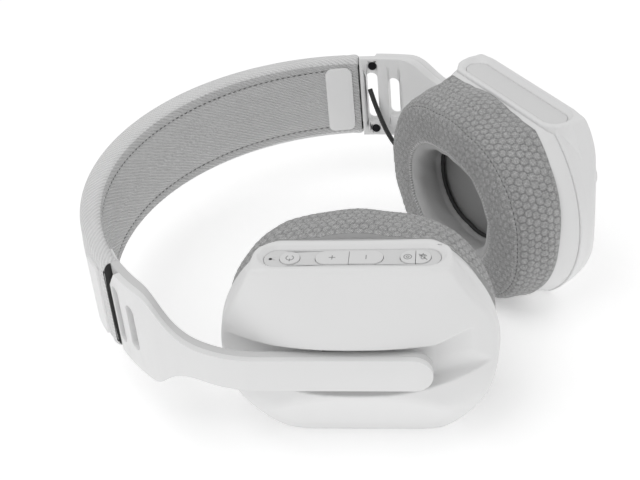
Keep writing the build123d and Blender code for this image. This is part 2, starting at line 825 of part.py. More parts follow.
with BuildPart() as microphone:
    with BuildSketch(cup_level(board_n)):
        with Locations(((main_board_size[0] - microphone_size[0]) / 2, board_q)):
            Rectangle(microphone_size[0], microphone_size[1])
    extrude(amount=-microphone_size[2])
save(microphone.part, "microphone")

with BuildPart() as battery:
    with BuildSketch(cup_level(board_n)):
        with Locations((0, board_q)):
            Rectangle(battery_size[0], battery_size[1])
    extrude(amount=battery_size[2])
save(mirror(battery.part, about=Plane.YZ), "battery")

socket_end = cup_radius - 2.6
socket_mouth = 0.5
with BuildPart() as charging_socket:
    with BuildSketch(cup_section(socket_end)):
        with Locations((0, socket_n)):
            SlotOverall(socket_size[1], socket_size[2])
            mouth = [size - 2 * socket_mouth for size in socket_size[1:]]
            SlotOverall(*mouth, mode=Mode.SUBTRACT)
    extrude(amount=-socket_size[0])
    with BuildSketch(cup_section(socket_end - socket_size[0])):
        with Locations((0, socket_n)):
            SlotOverall(socket_size[1], socket_size[2])
    extrude(amount=-socket_mouth)
save(charging_socket.part, "charging_socket")

# --- Audio wire and its grommet ---

with BuildPart() as wire_grommet:
    with BuildSketch(cup_section(-grommet_span[1])):
        with Locations(grommet_at):
            Circle(grommet_radius)
            Circle(wire_radius, mode=Mode.SUBTRACT)
    extrude(amount=grommet_span[1] - grommet_span[0])
save_pair(wire_grommet.part, "wire_grommet")


def cup_point(p, q, n):
    """Point of the left cup in the headset's own frame."""
    return (cup_at * Pos(p, q, n)).position


def band_point(distance, rear, height):
    """Point over the band's inner face, left half, in the headset's own frame."""
    return (on_band(distance, height).location * Pos(0, rear, 0)).position


wire_route = [
    band_point(103.6, 3.5, 1.4),
    band_point(105.4, -1.0, -1.6),
    band_point(108.0, -8.5, -2.6),
    band_point(111.0, -16.5, -3.0),
    cup_point(-73.5, -23.0, 24.2),
    cup_point(-67.0, -27.0, 26.5),
    cup_point(-60.0, -25.5, 26.2),
    cup_point(-54.6, -20.0, 24.7),
    cup_point(-49.8, -16.0, 23.8),
    cup_point(-44.6, -16.0, 23.8),
]


def tangent_run(points):
    """Straight runs joined by tangent arcs, each as large as its two runs allow."""
    path = []
    mark = points[0]
    for before, corner, after in zip(points, points[1:], points[2:]):
        arrive = corner - before
        leave = after - corner
        trim = 0.45 * min(arrive.length, leave.length)
        start = corner - arrive.normalized() * trim
        end = corner + leave.normalized() * trim
        print("wire arc radius", round(trim / tan(radians(arrive.get_angle(leave)) / 2), 1))
        path.append(Edge.make_line(mark, start))
        path.append(Edge.make_tangent_arc(start, arrive.normalized(), end))
        mark = end
    path.append(Edge.make_line(mark, points[-1]))
    return path


wire_path = tangent_run(wire_route)
with BuildPart() as audio_wire:
    with BuildLine() as route:
        add(wire_path)
    with BuildSketch(Plane(origin=route.line @ 0, z_dir=route.line % 0)):
        Circle(wire_radius)
    sweep()
wire_length = sum(edge.length for edge in wire_path)
expected_volume = pi * wire_radius**2 * wire_length
print("wire volume", round(audio_wire.part.volume, 1), "expected", round(expected_volume, 1))
save_pair(audio_wire.part, "audio_wire")
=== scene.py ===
"""Studio scene of a wireless gaming headset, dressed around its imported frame.

The headset lies on the front edges of its two ear cups. Cup coordinates are p down the cup, q towards the
back of the head and n outward from the ear, in millimetres; distances along the band are measured on its
inner face from the crown.
"""

import json
import math

import bpy
import numpy as np
from mathutils import Matrix, Vector
from mathutils.bvhtree import BVHTree


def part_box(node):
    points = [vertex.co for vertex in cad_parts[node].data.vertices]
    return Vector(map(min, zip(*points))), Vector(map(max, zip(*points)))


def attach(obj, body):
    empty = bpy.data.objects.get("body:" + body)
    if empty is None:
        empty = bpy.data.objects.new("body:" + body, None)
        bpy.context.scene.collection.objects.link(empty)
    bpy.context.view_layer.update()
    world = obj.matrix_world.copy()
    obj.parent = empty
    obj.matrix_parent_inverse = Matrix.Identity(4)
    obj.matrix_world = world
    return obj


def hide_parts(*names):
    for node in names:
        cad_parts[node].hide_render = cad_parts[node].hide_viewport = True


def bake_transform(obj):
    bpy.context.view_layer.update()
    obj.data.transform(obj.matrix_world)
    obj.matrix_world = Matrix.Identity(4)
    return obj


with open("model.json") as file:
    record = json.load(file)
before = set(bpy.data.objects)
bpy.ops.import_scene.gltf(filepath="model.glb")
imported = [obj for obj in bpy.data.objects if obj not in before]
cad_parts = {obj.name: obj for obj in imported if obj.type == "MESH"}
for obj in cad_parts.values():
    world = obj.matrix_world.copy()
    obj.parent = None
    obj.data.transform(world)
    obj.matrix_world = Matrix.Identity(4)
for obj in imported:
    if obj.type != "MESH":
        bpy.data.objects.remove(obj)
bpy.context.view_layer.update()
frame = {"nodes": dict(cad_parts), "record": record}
MM = 0.001
SIDES = {"left": -1, "right": 1}
JOINTS = {joint["name"]: joint for joint in frame["record"]["behaviour"]["joints"]}

# --- Where things are, read from the frame ---

BAND_RADIUS = 93.0
CROWN_THICKNESS = 9.8
END_THICKNESS = 6.4
END_ANGLE = math.radians(61.4)
HALF_BAND = 19.0
PIVOT_P = -8.0
PIVOT_N = 38.0

sleeve_low, sleeve_high = [np.array(corner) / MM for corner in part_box("headband_sleeve")]
CENTRE_Y = sleeve_high[1] - CROWN_THICKNESS - BAND_RADIUS
MIDDLE_Z = (sleeve_low[2] + sleeve_high[2]) / 2
end_x = (BAND_RADIUS + END_THICKNESS) * math.sin(END_ANGLE)
end_u = (BAND_RADIUS + END_THICKNESS) * math.cos(END_ANGLE) - BAND_RADIUS
OUTER_CENTRE = (end_x**2 + end_u**2 - CROWN_THICKNESS**2) / (2 * (end_u - CROWN_THICKNESS))
OUTER_RADIUS = CROWN_THICKNESS - OUTER_CENTRE


def cup_axes(side):
    """The cup's pivot and its p, q and n directions."""
    pivot = np.array(JOINTS[f"{side}_cup_tilt"]["pos_m"]) / MM
    down = np.array(JOINTS[f"{side}_size_slide"]["axis"])
    rear = np.array([0.0, 0.0, 1.0])
    return pivot, down, rear, -SIDES[side] * np.cross(down, rear)


def cup_points(side, points):
    """Cup coordinates in millimetres to metres in the headset's frame."""
    pivot, down, rear, out = cup_axes(side)
    p, q, n = np.asarray(points, float).T
    placed = pivot + np.outer(p - PIVOT_P, down) + np.outer(q, rear) + np.outer(n - PIVOT_N, out)
    return placed * MM


def band_points(distance, rear, height):
    """Signed distance along the band (left is negative), rearward place and height over its inner face."""
    angle = np.asarray(distance, float) / BAND_RADIUS
    radius = BAND_RADIUS + np.asarray(height, float)
    placed = np.broadcast_arrays(
        radius * np.sin(angle), CENTRE_Y + radius * np.cos(angle), MIDDLE_Z + np.asarray(rear)
    )
    return np.stack(placed, axis=-1) * MM


def sleeve_thickness(distance):
    """How thick the sleeve is at a distance along the band."""
    angle = distance / BAND_RADIUS
    rise = OUTER_CENTRE + BAND_RADIUS
    return rise * np.cos(angle) + np.sqrt(OUTER_RADIUS**2 - (rise * np.sin(angle)) ** 2) - BAND_RADIUS


# --- Mesh helpers ---

TINY = 1e-12
NET_STEPS = 8


def make_piece(name, points, faces, materials, flip=False, uvs=None, regions=None, smooth=True, normals=None,
               relief=None):
    """A mesh object from points in metres.

    uvs holds one pair of millimetres for each corner of each face, regions each face's material, and relief
    each point's height in the pad fabric's honeycomb, from 0 to 1, which the pads use as painted shade in its
    sunk lines.
    """
    if flip:
        faces = faces[:, ::-1]
        uvs = uvs[:, ::-1] if uvs is not None else None
    mesh = bpy.data.meshes.new(name)
    mesh.vertices.add(len(points))
    mesh.vertices.foreach_set("co", np.asarray(points, np.float32).ravel())
    sides = faces.shape[1]
    mesh.loops.add(faces.size)
    mesh.loops.foreach_set("vertex_index", faces.astype(np.int32).ravel())
    mesh.polygons.add(len(faces))
    mesh.polygons.foreach_set("loop_start", np.arange(0, faces.size, sides, dtype=np.int32))
    mesh.update(calc_edges=True)
    mesh.validate()
    for material in materials:
        mesh.materials.append(material)
    mesh.polygons.foreach_set("use_smooth", np.full(len(mesh.polygons), smooth))
    if regions is not None:
        mesh.polygons.foreach_set("material_index", regions.astype(np.int32))
    if uvs is not None:
        layer = mesh.uv_layers.new(name="weave")
        layer.data.foreach_set("uv", np.asarray(uvs, np.float32).ravel())
    if relief is not None:
        mesh.attributes.new("relief", "FLOAT", "POINT").data.foreach_set("value", relief.astype(np.float32))
    if normals is not None:
        mesh.normals_split_custom_set_from_vertices(normals.tolist())
    piece = bpy.data.objects.new(name, mesh)
    bpy.context.scene.collection.objects.link(piece)
    return piece


def grid_faces(rows, columns, wrap_rows=False, wrap_columns=False):
    """Quads of a grid of points, and each quad's row and column."""
    row_count, column_count = rows - (not wrap_rows), columns - (not wrap_columns)
    i, j = np.divmod(np.arange(row_count * column_count), column_count)
    a, b = (i + 1) % rows, (j + 1) % columns
    return np.stack([i * columns + j, a * columns + j, a * columns + b, i * columns + b], axis=1), i, j


def grid_normals(points):
    """Unit normals of a grid of points (rows, columns, 3) whose last column joins its first."""
    normal = np.cross(np.gradient(points, axis=0), np.roll(points, -1, 1) - np.roll(points, 1, 1))
    return normal / np.maximum(np.linalg.norm(normal, axis=-1, keepdims=True), TINY)


def path_lengths(points):
    """Length along a path of points (rows, two numbers) from its first point to each point."""
    return np.concatenate([[0], np.cumsum(np.hypot(*np.diff(points, axis=0).T))])


def smooth_max(a, b, reach):
    """The larger of two fields, with a rounded change from one to the other."""
    share = np.clip(0.5 + 0.5 * (a - b) / reach, 0, 1)
    return b + (a - b) * share + reach * share * (1 - share)


def smooth_min(a, b, reach):
    """The smaller of two fields, with a rounded change from one to the other."""
    return -smooth_max(-a, -b, reach)


def smooth_step(x):
    """0 below 0, 1 above 1 and smooth between."""
    x = np.clip(x, 0, 1)
    return x * x * (3 - 2 * x)


def surface_net(field, low, high, cell):
    """Points, quads and normals of the surface where field(p, q, n) is zero.

    Each cell that the surface crosses gets one point, which walks down the field's slope onto the surface.
    """
    axes = [np.arange(a, b + cell, cell) for a, b in zip(low, high)]
    inside = field(*np.meshgrid(*axes, indexing="ij")) < 0
    a, b, c = np.array(inside.shape) - 1
    count = sum(
        inside[i:a + i, j:b + j, k:c + k].astype(np.int8) for i in (0, 1) for j in (0, 1) for k in (0, 1)
    )
    mixed = (count > 0) & (count < 8)
    index = np.full(mixed.shape, -1)
    index[mixed] = np.arange(mixed.sum())
    cells = np.argwhere(mixed)
    start = np.stack([axes[k][cells[:, k]] + cell / 2 for k in range(3)], axis=1)
    points = start.copy()

    def slopes(step):
        return np.stack([
            (field(*(points + step * axis).T) - field(*(points - step * axis).T)) / (2 * step)
            for axis in np.eye(3)
        ], axis=1)

    for _ in range(NET_STEPS):
        value = field(*points.T)
        slope = slopes(0.02)
        move = slope * (value / np.maximum((slope**2).sum(1), 0.2))[:, None]
        points = np.clip(points - 0.9 * move, start - 0.8 * cell, start + 0.8 * cell)
    quads = []
    for axis in range(3):
        u, v = [k for k in range(3) if k != axis]
        first = np.take(inside, range(inside.shape[axis] - 1), axis)
        second = np.take(inside, range(1, inside.shape[axis]), axis)
        where = np.argwhere(first != second)
        where = where[(where[:, u] > 0) & (where[:, v] > 0)]
        where = where[(where[:, u] < mixed.shape[u]) & (where[:, v] < mixed.shape[v])]
        around = []
        for du, dv in ((-1, -1), (0, -1), (0, 0), (-1, 0)):
            at = where.copy()
            at[:, u] += du
            at[:, v] += dv
            around.append(index[tuple(at.T)])
        quad = np.stack(around, axis=1)
        out = first[tuple(where.T)] if axis != 1 else ~first[tuple(where.T)]
        quads.append(np.where(out[:, None], quad, quad[:, ::-1]))
    normal = slopes(0.1)
    normal /= np.maximum(np.linalg.norm(normal, axis=1, keepdims=True), 1e-9)
    return points, np.concatenate(quads), normal


# --- Materials ---


class Nodes:
    """A material's node tree, with short ways to add nodes and formulas to it."""

    def __init__(self, name, colour, roughness, **sockets):
        self.material = bpy.data.materials.new(name)
        self.material.use_nodes = True
        self.tree = self.material.node_tree
        self.shader = self.tree.nodes["Principled BSDF"]
        self.shader.inputs["Base Color"].default_value = (*colour, 1)
        self.shader.inputs["Roughness"].default_value = roughness
        for socket, value in sockets.items():
            self.shader.inputs[socket.replace("_", " ")].default_value = value

    def put(self, socket, value):
        """Set a socket to a value, or link it to another node's socket."""
        if isinstance(value, bpy.types.NodeSocket):
            self.tree.links.new(value, socket)
        else:
            socket.default_value = value

    def node(self, kind, out=0, **settings):
        """Add a node; settings that name a socket fill it, the others are the node's own."""
        node = self.tree.nodes.new("ShaderNode" + kind)
        for key, value in settings.items():
            if hasattr(node, key):
                setattr(node, key, value)
            else:
                self.put(node.inputs[key], value)
        return node.outputs[out]

    def math(self, operation, *values):
        """One operation on numbers and sockets."""
        node = self.tree.nodes.new("ShaderNodeMath")
        node.operation = operation
        for socket, value in zip(node.inputs, values):
            self.put(socket, value)
        return node.outputs[0]

    def wave(self, x, period):
        """0 to 1 and back along x, in the same unit as period."""
        phase = self.math("MULTIPLY", x, 2 * math.pi / period)
        return self.math("MULTIPLY_ADD", self.math("SINE", phase), 0.5, 0.5)

    def uv(self):
        """The piece's own surface coordinates in millimetres, as two sockets."""
        split = self.tree.nodes.new("ShaderNodeSeparateXYZ")
        self.put(split.inputs[0], self.node("UVMap", uv_map="weave"))
        return split.outputs[0], split.outputs[1]

    def place(self):
        """The place in the headset's frame, in metres."""
        return self.node("TexCoord", out=3)

    def noise(self, vector, scale, detail=2.0):
        """Soft noise from 0 to 1."""
        return self.node("TexNoise", Vector=vector, Scale=scale, Detail=detail)

    def mix(self, share, first, second):
        """Two colours mixed by a share."""
        node = self.tree.nodes.new("ShaderNodeMix")
        node.data_type = "RGBA"
        self.put(node.inputs["Factor"], share)
        for name, value in (("A", first), ("B", second)):
            socket = [s for s in node.inputs if s.name == name and s.type == "RGBA"][0]
            self.put(socket, (*value, 1) if isinstance(value, tuple) else value)
        return [s for s in node.outputs if s.type == "RGBA"][0]

    def fit(self, value, low, high):
        """A 0 to 1 value moved to another range."""
        return self.math("MULTIPLY_ADD", value, high - low, low)

    def finish(self, colour=None, roughness=None, height=None, depth=0.0001, strength=1.0):
        """Link what was worked out to the shader."""
        if colour is not None:
            self.put(self.shader.inputs["Base Color"], colour)
        if roughness is not None:
            self.put(self.shader.inputs["Roughness"], roughness)
        if height is not None:
            bump = self.tree.nodes.new("ShaderNodeBump")
            bump.inputs["Strength"].default_value = strength
            bump.inputs["Distance"].default_value = depth
            self.put(bump.inputs["Height"], height)
            self.put(self.shader.inputs["Normal"], bump.outputs[0])
        return self.material


def grey(level):
    """A neutral colour."""
    return (level, level, level)


def scaled(colour, factor):
    """A darker or lighter colour, no lighter than white."""
    return tuple(min(1.0, factor * part) for part in colour)


def plastic(name, colour, roughness):
    """Moulded plastic: a fine satin grain, slightly uneven gloss and paler convex edges, partly edge wear and
    partly a painted highlight.
    """
    nodes = Nodes(name, colour, roughness)
    place = nodes.place()
    fine = nodes.noise(place, 2600.0)
    broad = nodes.noise(place, 45.0, 3.0)
    # paler convex edges, found from the mesh's pointiness: partly edge wear, partly a painted highlight
    edge = nodes.node("NewGeometry", out=7)
    wear_and_edge_highlight = nodes.math("MULTIPLY", nodes.math("SUBTRACT", edge, 0.53), 2.2)
    wear_and_edge_highlight.node.use_clamp = True
    shade = nodes.math("ADD", nodes.math("MULTIPLY", broad, 0.35), nodes.math("MULTIPLY", wear_and_edge_highlight, 0.6))
    tone = nodes.mix(shade, scaled(colour, 0.965), scaled(colour, 1.03))
    gloss = nodes.fit(broad, roughness - 0.06, roughness + 0.06)
    gloss = nodes.math("ADD", gloss, nodes.math("MULTIPLY", fine, 0.03))
    return nodes.finish(tone, gloss, fine, depth=0.00003, strength=0.5)


def ribbed_fabric(name, colour, pitch, angle, cross=0.7, depth=0.00035):
    """Woven fabric with slanted ribs; its threads run along its surface coordinates."""
    nodes = Nodes(name, colour, 0.9, Sheen_Weight=0.35, Sheen_Roughness=0.5)
    u, v = nodes.uv()
    c, s = math.cos(angle), math.sin(angle)
    drift = nodes.fit(nodes.noise(nodes.place(), 160.0), -0.25, 0.25)
    along = nodes.math("ADD", nodes.math("MULTIPLY", u, c), nodes.math("MULTIPLY", v, s))
    across = nodes.math("SUBTRACT", nodes.math("MULTIPLY", v, c), nodes.math("MULTIPLY", u, s))
    rib = nodes.wave(nodes.math("ADD", along, drift), pitch)
    thread = nodes.wave(across, cross)
    fibre = nodes.noise(nodes.place(), 5200.0, 3.0)
    height = nodes.math("ADD", nodes.math("MULTIPLY_ADD", thread, 0.3, nodes.math("MULTIPLY", rib, 0.7)),
                        nodes.math("MULTIPLY", fibre, 0.35))
    broad = nodes.noise(nodes.place(), 60.0, 4.0)
    shade = nodes.math("MULTIPLY_ADD", broad, 0.35, nodes.math("MULTIPLY", height, 0.6))
    shade.node.use_clamp = True
    tone = nodes.mix(shade, scaled(colour, 0.74), scaled(colour, 1.16))
    return nodes.finish(tone, nodes.fit(fibre, 0.82, 0.98), height, depth=depth)


def knit_fabric(name, colour, pitch, depth=0.00022, contrast=0.3, relief=0.0, grain=0.0):
    """Knitted fabric: small loops in offset rows with loose fibres.

    relief paints shade into the sunk lines of the piece's own honeycomb, and grain adds a coarse dark fleck.
    """
    nodes = Nodes(name, colour, 0.92, Sheen_Weight=0.3, Sheen_Roughness=0.5)
    u, v = nodes.uv()
    drift = nodes.fit(nodes.noise(nodes.place(), 240.0), -0.2, 0.2)
    first = nodes.wave(nodes.math("ADD", nodes.math("ADD", u, v), drift), pitch)
    second = nodes.wave(nodes.math("SUBTRACT", nodes.math("SUBTRACT", u, v), drift), pitch)
    loops = nodes.math("MULTIPLY", first, second)
    fibre = nodes.noise(nodes.place(), 4300.0, 4.0)
    height = nodes.math("MULTIPLY_ADD", fibre, 0.5, loops)
    broad = nodes.noise(nodes.place(), 70.0, 4.0)
    shade = nodes.math("MULTIPLY_ADD", broad, 0.4, nodes.math("MULTIPLY", height, 0.55))
    shade.node.use_clamp = True
    tone = nodes.mix(shade, scaled(colour, 1 - contrast), scaled(colour, 1 + contrast / 2))
    if grain:
        speck = nodes.noise(nodes.place(), 1500.0, 2.0)
        height = nodes.math("MULTIPLY_ADD", speck, 1.6 * grain, height)
        spread = nodes.math("MULTIPLY_ADD", nodes.math("SUBTRACT", speck, 0.5), 6.0 * grain, 0.5)
        spread.node.use_clamp = True
        tone = nodes.mix(nodes.math("MULTIPLY", spread, 0.55), tone, scaled(colour, 0.32))
    if relief:
        # painted shade: the honeycomb's sunk lines, marked by the mesh's relief attribute, are coloured
        # darker
        cells = nodes.node("Attribute", out=2, attribute_name="relief")
        tone = nodes.mix(nodes.fit(cells, relief, 0.0), tone, scaled(colour, 0.35))
    return nodes.finish(tone, nodes.fit(fibre, 0.85, 1.0), height, depth=depth)


def brushed_metal(name, colour, roughness):
    """Metal with fine brushed lines and uneven gloss."""
    nodes = Nodes(name, colour, roughness, Metallic=1.0)
    stretched = nodes.node("Mapping", Vector=nodes.place(), Scale=(4000.0, 300.0, 300.0))
    lines = nodes.noise(stretched, 1.0, 3.0)
    tone = nodes.mix(lines, scaled(colour, 0.8), colour)
    return nodes.finish(tone, nodes.fit(lines, roughness - 0.08, roughness + 0.12), lines, depth=0.00002)


def rubber(name, colour, roughness):
    """Soft black rubber with a slightly dusty, uneven skin."""
    nodes = Nodes(name, colour, roughness)
    dust = nodes.noise(nodes.place(), 900.0, 4.0)
    tone = nodes.mix(dust, colour, scaled(colour, 2.2))
    return nodes.finish(tone, nodes.fit(dust, roughness - 0.08, roughness + 0.12), dust, depth=0.00004)


SLOT_MATERIALS = {
    "white_shell": plastic("white_shell_satin", grey(0.81), 0.42),
    "white_arm": plastic("white_arm_satin", grey(0.81), 0.36),
    "grey_panel": plastic("grey_panel_satin", grey(0.70), 0.45),
    "button_grey": plastic("button_plastic", grey(0.74), 0.4),
    "black_plastic": plastic("black_plastic_matte", grey(0.018), 0.55),
    "circuit_board": plastic("circuit_board_green", (0.03, 0.12, 0.06), 0.4),
    "battery_wrap": plastic("battery_wrap_blue", (0.05, 0.12, 0.3), 0.35),
    "film": plastic("diaphragm_film", (0.25, 0.22, 0.16), 0.3),
    "light_guide": plastic("light_guide_dark", grey(0.05), 0.25),
    "nylon": plastic("nylon_white", (0.62, 0.62, 0.6), 0.5),
    "black_rubber": rubber("black_rubber_skin", grey(0.012), 0.5),
    "black_steel": brushed_metal("black_steel_screw", (0.02, 0.02, 0.022), 0.4),
    "steel": brushed_metal("steel_turned", (0.55, 0.55, 0.56), 0.32),
    "spring_steel": brushed_metal("spring_steel_strip", (0.42, 0.43, 0.45), 0.3),
    "sleeve_fabric": ribbed_fabric("sleeve_fabric_outer", grey(0.78), 1.3, math.radians(55)),
    "pad_fabric": knit_fabric("pad_wall_fabric", grey(0.60), 0.75, contrast=0.42, relief=0.85, grain=0.65),
    "pad_foam": knit_fabric("pad_liner_fabric", grey(0.48), 0.45, depth=0.0001, contrast=0.15),
    "acoustic_cloth": knit_fabric("acoustic_cloth_weave", grey(0.28), 0.5, depth=0.00012, contrast=0.2),
}
arm_inside = plastic("arm_frame_satin", grey(0.64), 0.42)
patch_plastic = plastic("patch_plastic", grey(0.84), 0.5)
white_panel = plastic("white_panel_satin", grey(0.72), 0.45)
icon_paint = plastic("icon_paint", grey(0.36), 0.5)
piping_black = rubber("piping_black", grey(0.015), 0.7)
sleeve_inner = ribbed_fabric("sleeve_fabric_inner", grey(0.62), 1.15, math.radians(62), depth=0.00045)
pad_face = knit_fabric(
    "pad_face_fabric", grey(0.62), 0.9, contrast=0.42, depth=0.0004, relief=0.8, grain=0.75
)
stitch_pale = ribbed_fabric("stitch_thread_pale", grey(0.78), 0.35, 0.5, cross=0.2, depth=0.0001)
stitch_dark = ribbed_fabric("stitch_thread_dark", grey(0.10), 0.35, 0.5, cross=0.2, depth=0.0001)

node_slots = {subpart["node"]: subpart["material_slot"] for subpart in frame["record"]["subparts"]}
NODE_MATERIALS = {"left_arm_frame": arm_inside, "right_rear_panel": white_panel}
for node_name, piece in frame["nodes"].items():
    finish = NODE_MATERIALS.get(node_name, SLOT_MATERIALS[node_slots[node_name]])
    piece.data.materials.clear()
    piece.data.materials.append(patch_plastic if "clamp_plate" in node_name else finish)

# --- Camera, light and floor ---

camera_data = bpy.data.cameras.new("camera")
camera = bpy.data.objects.new("camera", camera_data)
bpy.context.scene.collection.objects.link(camera)
image_right = Vector((0.53907, -0.83849, -0.07965))
image_down = Vector((-0.52066, -0.25741, -0.81403))
forward = Vector((0.66205, 0.48029, -0.57533))
look = Matrix((image_right, -image_down, -forward)).transposed().to_4x4()
look.translation = (-0.35681, -0.25315, 0.33762)
camera.matrix_world = look
camera_data.sensor_width = 36
camera_data.lens = 76.29
camera_data.clip_start = 0.01
bpy.context.scene.camera = camera


def area_light(name, place, target, size, power):
    """A square soft light that looks at a point."""
    data = bpy.data.lights.new(name, "AREA")
    data.size = size
    data.energy = power
    light = bpy.data.objects.new(name, data)
    light.location = place
    light.rotation_euler = (Vector(target) - Vector(place)).to_track_quat("-Z", "Y").to_euler()
    bpy.context.scene.collection.objects.link(light)


world = bpy.data.worlds.new("studio")
bpy.context.scene.world = world
world.use_nodes = True
world.node_tree.nodes["Background"].inputs[0].default_value = (1, 1, 1, 1)
world.node_tree.nodes["Background"].inputs[1].default_value = 0.6
area_light("key", (-0.35, 0.15, 0.95), (0, 0, 0.04), 0.7, 2.5)
area_light("fill", (-0.9, -0.7, 0.35), (0, 0, 0.04), 0.8, 0.7)
area_light("side", (0.75, -0.25, 0.55), (0, 0, 0.05), 0.6, 0.8)
bpy.context.scene.view_settings.view_transform = "Standard"

FLOOR_REACH = 3.0
FLOOR_GAP = 0.0002
floor_nodes = Nodes("studio_floor", grey(0.95), 0.9, Emission_Color=(1, 1, 1, 1), Emission_Strength=0.27)
floor_noise = floor_nodes.noise(floor_nodes.place(), 30.0)
floor_finish = floor_nodes.finish(roughness=floor_nodes.fit(floor_noise, 0.85, 0.95))
floor_corners = FLOOR_REACH * np.array([(-1, -1, 0), (1, -1, 0), (1, 1, 0), (-1, 1, 0)])
floor = make_piece("studio_floor", floor_corners, np.array([[0, 1, 2, 3]]), [floor_finish], smooth=False)
floor.location.z = -FLOOR_GAP

# --- Headband sleeve: a padded fabric tube with seams, stitches and hemmed ends ---

SLEEVE_END = 99.4
STITCH_LINE = 14.1
SLEEVE_ROWS = 360
SLEEVE_COLUMNS = 190
CREASES = 6
INNER_HALF = 16.5


def sleeve_loop(thickness, count):
    """Points (rear, height) round the sleeve from the middle of its inner face, and their lengths."""
    corner = min(2.8, thickness / 2 - 0.2)
    outline = [(0.0, 0.0)]
    for across, top, start in ((1, False, 270), (1, True, 0), (-1, True, 90), (-1, False, 180)):
        rear, height = across * (HALF_BAND - corner), thickness - corner if top else corner
        for angle in np.radians(np.linspace(start, start + 90, 9)):
            outline.append((rear + corner * math.cos(angle), height + corner * math.sin(angle)))
    outline.append((0.0, 0.0))
    outline = np.array(outline)
    length = path_lengths(outline)
    at = np.linspace(0, length[-1], count + 1)[:-1]
    return np.stack([np.interp(at, length, outline[:, k]) for k in (0, 1)], axis=1), at


def build_sleeve():
    """The sleeve's mesh, with the inner face padded between its two stitch lines."""
    rows, columns = SLEEVE_ROWS, SLEEVE_COLUMNS
    distances = np.linspace(-SLEEVE_END, SLEEVE_END, rows)
    points = np.zeros((rows, columns, 3))
    lengths = np.zeros((rows, columns))
    rng = np.random.default_rng(7)
    waves = rng.uniform(0, 2 * np.pi, CREASES)
    for row, distance in enumerate(distances):
        thickness = sleeve_thickness(distance)
        loop, at = sleeve_loop(thickness, columns)
        rear, height = loop[:, 0], loop[:, 1]
        inner = height < 0.3
        outer = height > thickness - 0.3
        to_end = SLEEVE_END - abs(distance)
        # foam crowns the inner face between its sewn channels, and the outer face a little
        middle = smooth_step((STITCH_LINE - np.abs(rear)) / 5.0)
        lift = np.zeros(columns)
        lift[inner] -= 0.9 * middle[inner] * smooth_step((to_end - 14) / 18.0)
        channel = np.exp(-((np.abs(rear) - STITCH_LINE) / 0.55) ** 2)
        lift[inner] += 0.5 * channel[inner] * smooth_step((to_end - 9) / 6.0)
        lift[outer] += 0.35 * smooth_step((HALF_BAND - 3 - np.abs(rear[outer])) / 8.0)
        # soft creases, stronger where the fabric is gathered near the ends
        crease = sum(
            np.sin(distance * (0.16 + 0.09 * k) + rear * (0.11 + 0.07 * k) + waves[k]) for k in range(CREASES)
        ) / CREASES
        lift[inner] += 0.10 * crease[inner]
        near_end = smooth_step((16 - to_end) / 10.0)
        lift[inner] += 0.12 * near_end * np.sin(rear[inner] * 0.9 + waves[0]) * np.sin(distance * 0.8)
        # a hem stands up at each end, behind a tuck, and the tube closes on its core
        hem = np.exp(-((to_end - 2.0) / 1.3) ** 2)
        tuck = np.exp(-((to_end - 4.6) / 0.5) ** 2)
        out = np.where(inner, -1.0, np.where(outer, 1.0, 0.0))
        height = height + lift + out * (0.28 * hem - 0.22 * tuck)
        side_push = np.where(~inner & ~outer, np.sign(rear) * (0.22 * hem - 0.15 * tuck), 0.0)
        closing = smooth_step(1.0 - to_end)
        height = thickness / 2 + (height - thickness / 2) * (1 - 0.22 * closing**2)
        rear = (rear + side_push) * (1 - 0.03 * closing**2)
        points[row] = band_points(distance, rear, height)
        lengths[row] = at
    caps = []
    for end in (0, rows - 1):
        ring = points[end]
        caps.append(ring * 0.35 + ring.mean(axis=0) * 0.65)
    points = np.concatenate([caps[0][None], points, caps[1][None]])
    along = np.concatenate([[distances[0] - 2], distances, [distances[-1] + 2]])
    lengths = np.concatenate([lengths[:1], lengths, lengths[-1:]])
    faces, i, j = grid_faces(rows + 2, columns, wrap_columns=True)
    step = lengths[0, 1] - lengths[0, 0]
    u = np.stack([along[i], along[i + 1], along[i + 1], along[i]], axis=1)
    v = np.stack([j * step, j * step, (j + 1) * step, (j + 1) * step], axis=1)
    inner_face = (j * step < INNER_HALF) | (j * step > step * columns - INNER_HALF)
    regions = np.where(inner_face, 0, 1)
    regions[(i == 0) | (i == rows)] = 2
    finishes = [sleeve_inner, SLOT_MATERIALS["sleeve_fabric"], piping_black]
    return make_piece("headband_sleeve_fabric", points.reshape(-1, 3), faces, finishes,
                      uvs=np.stack([u, v], axis=2), regions=regions)


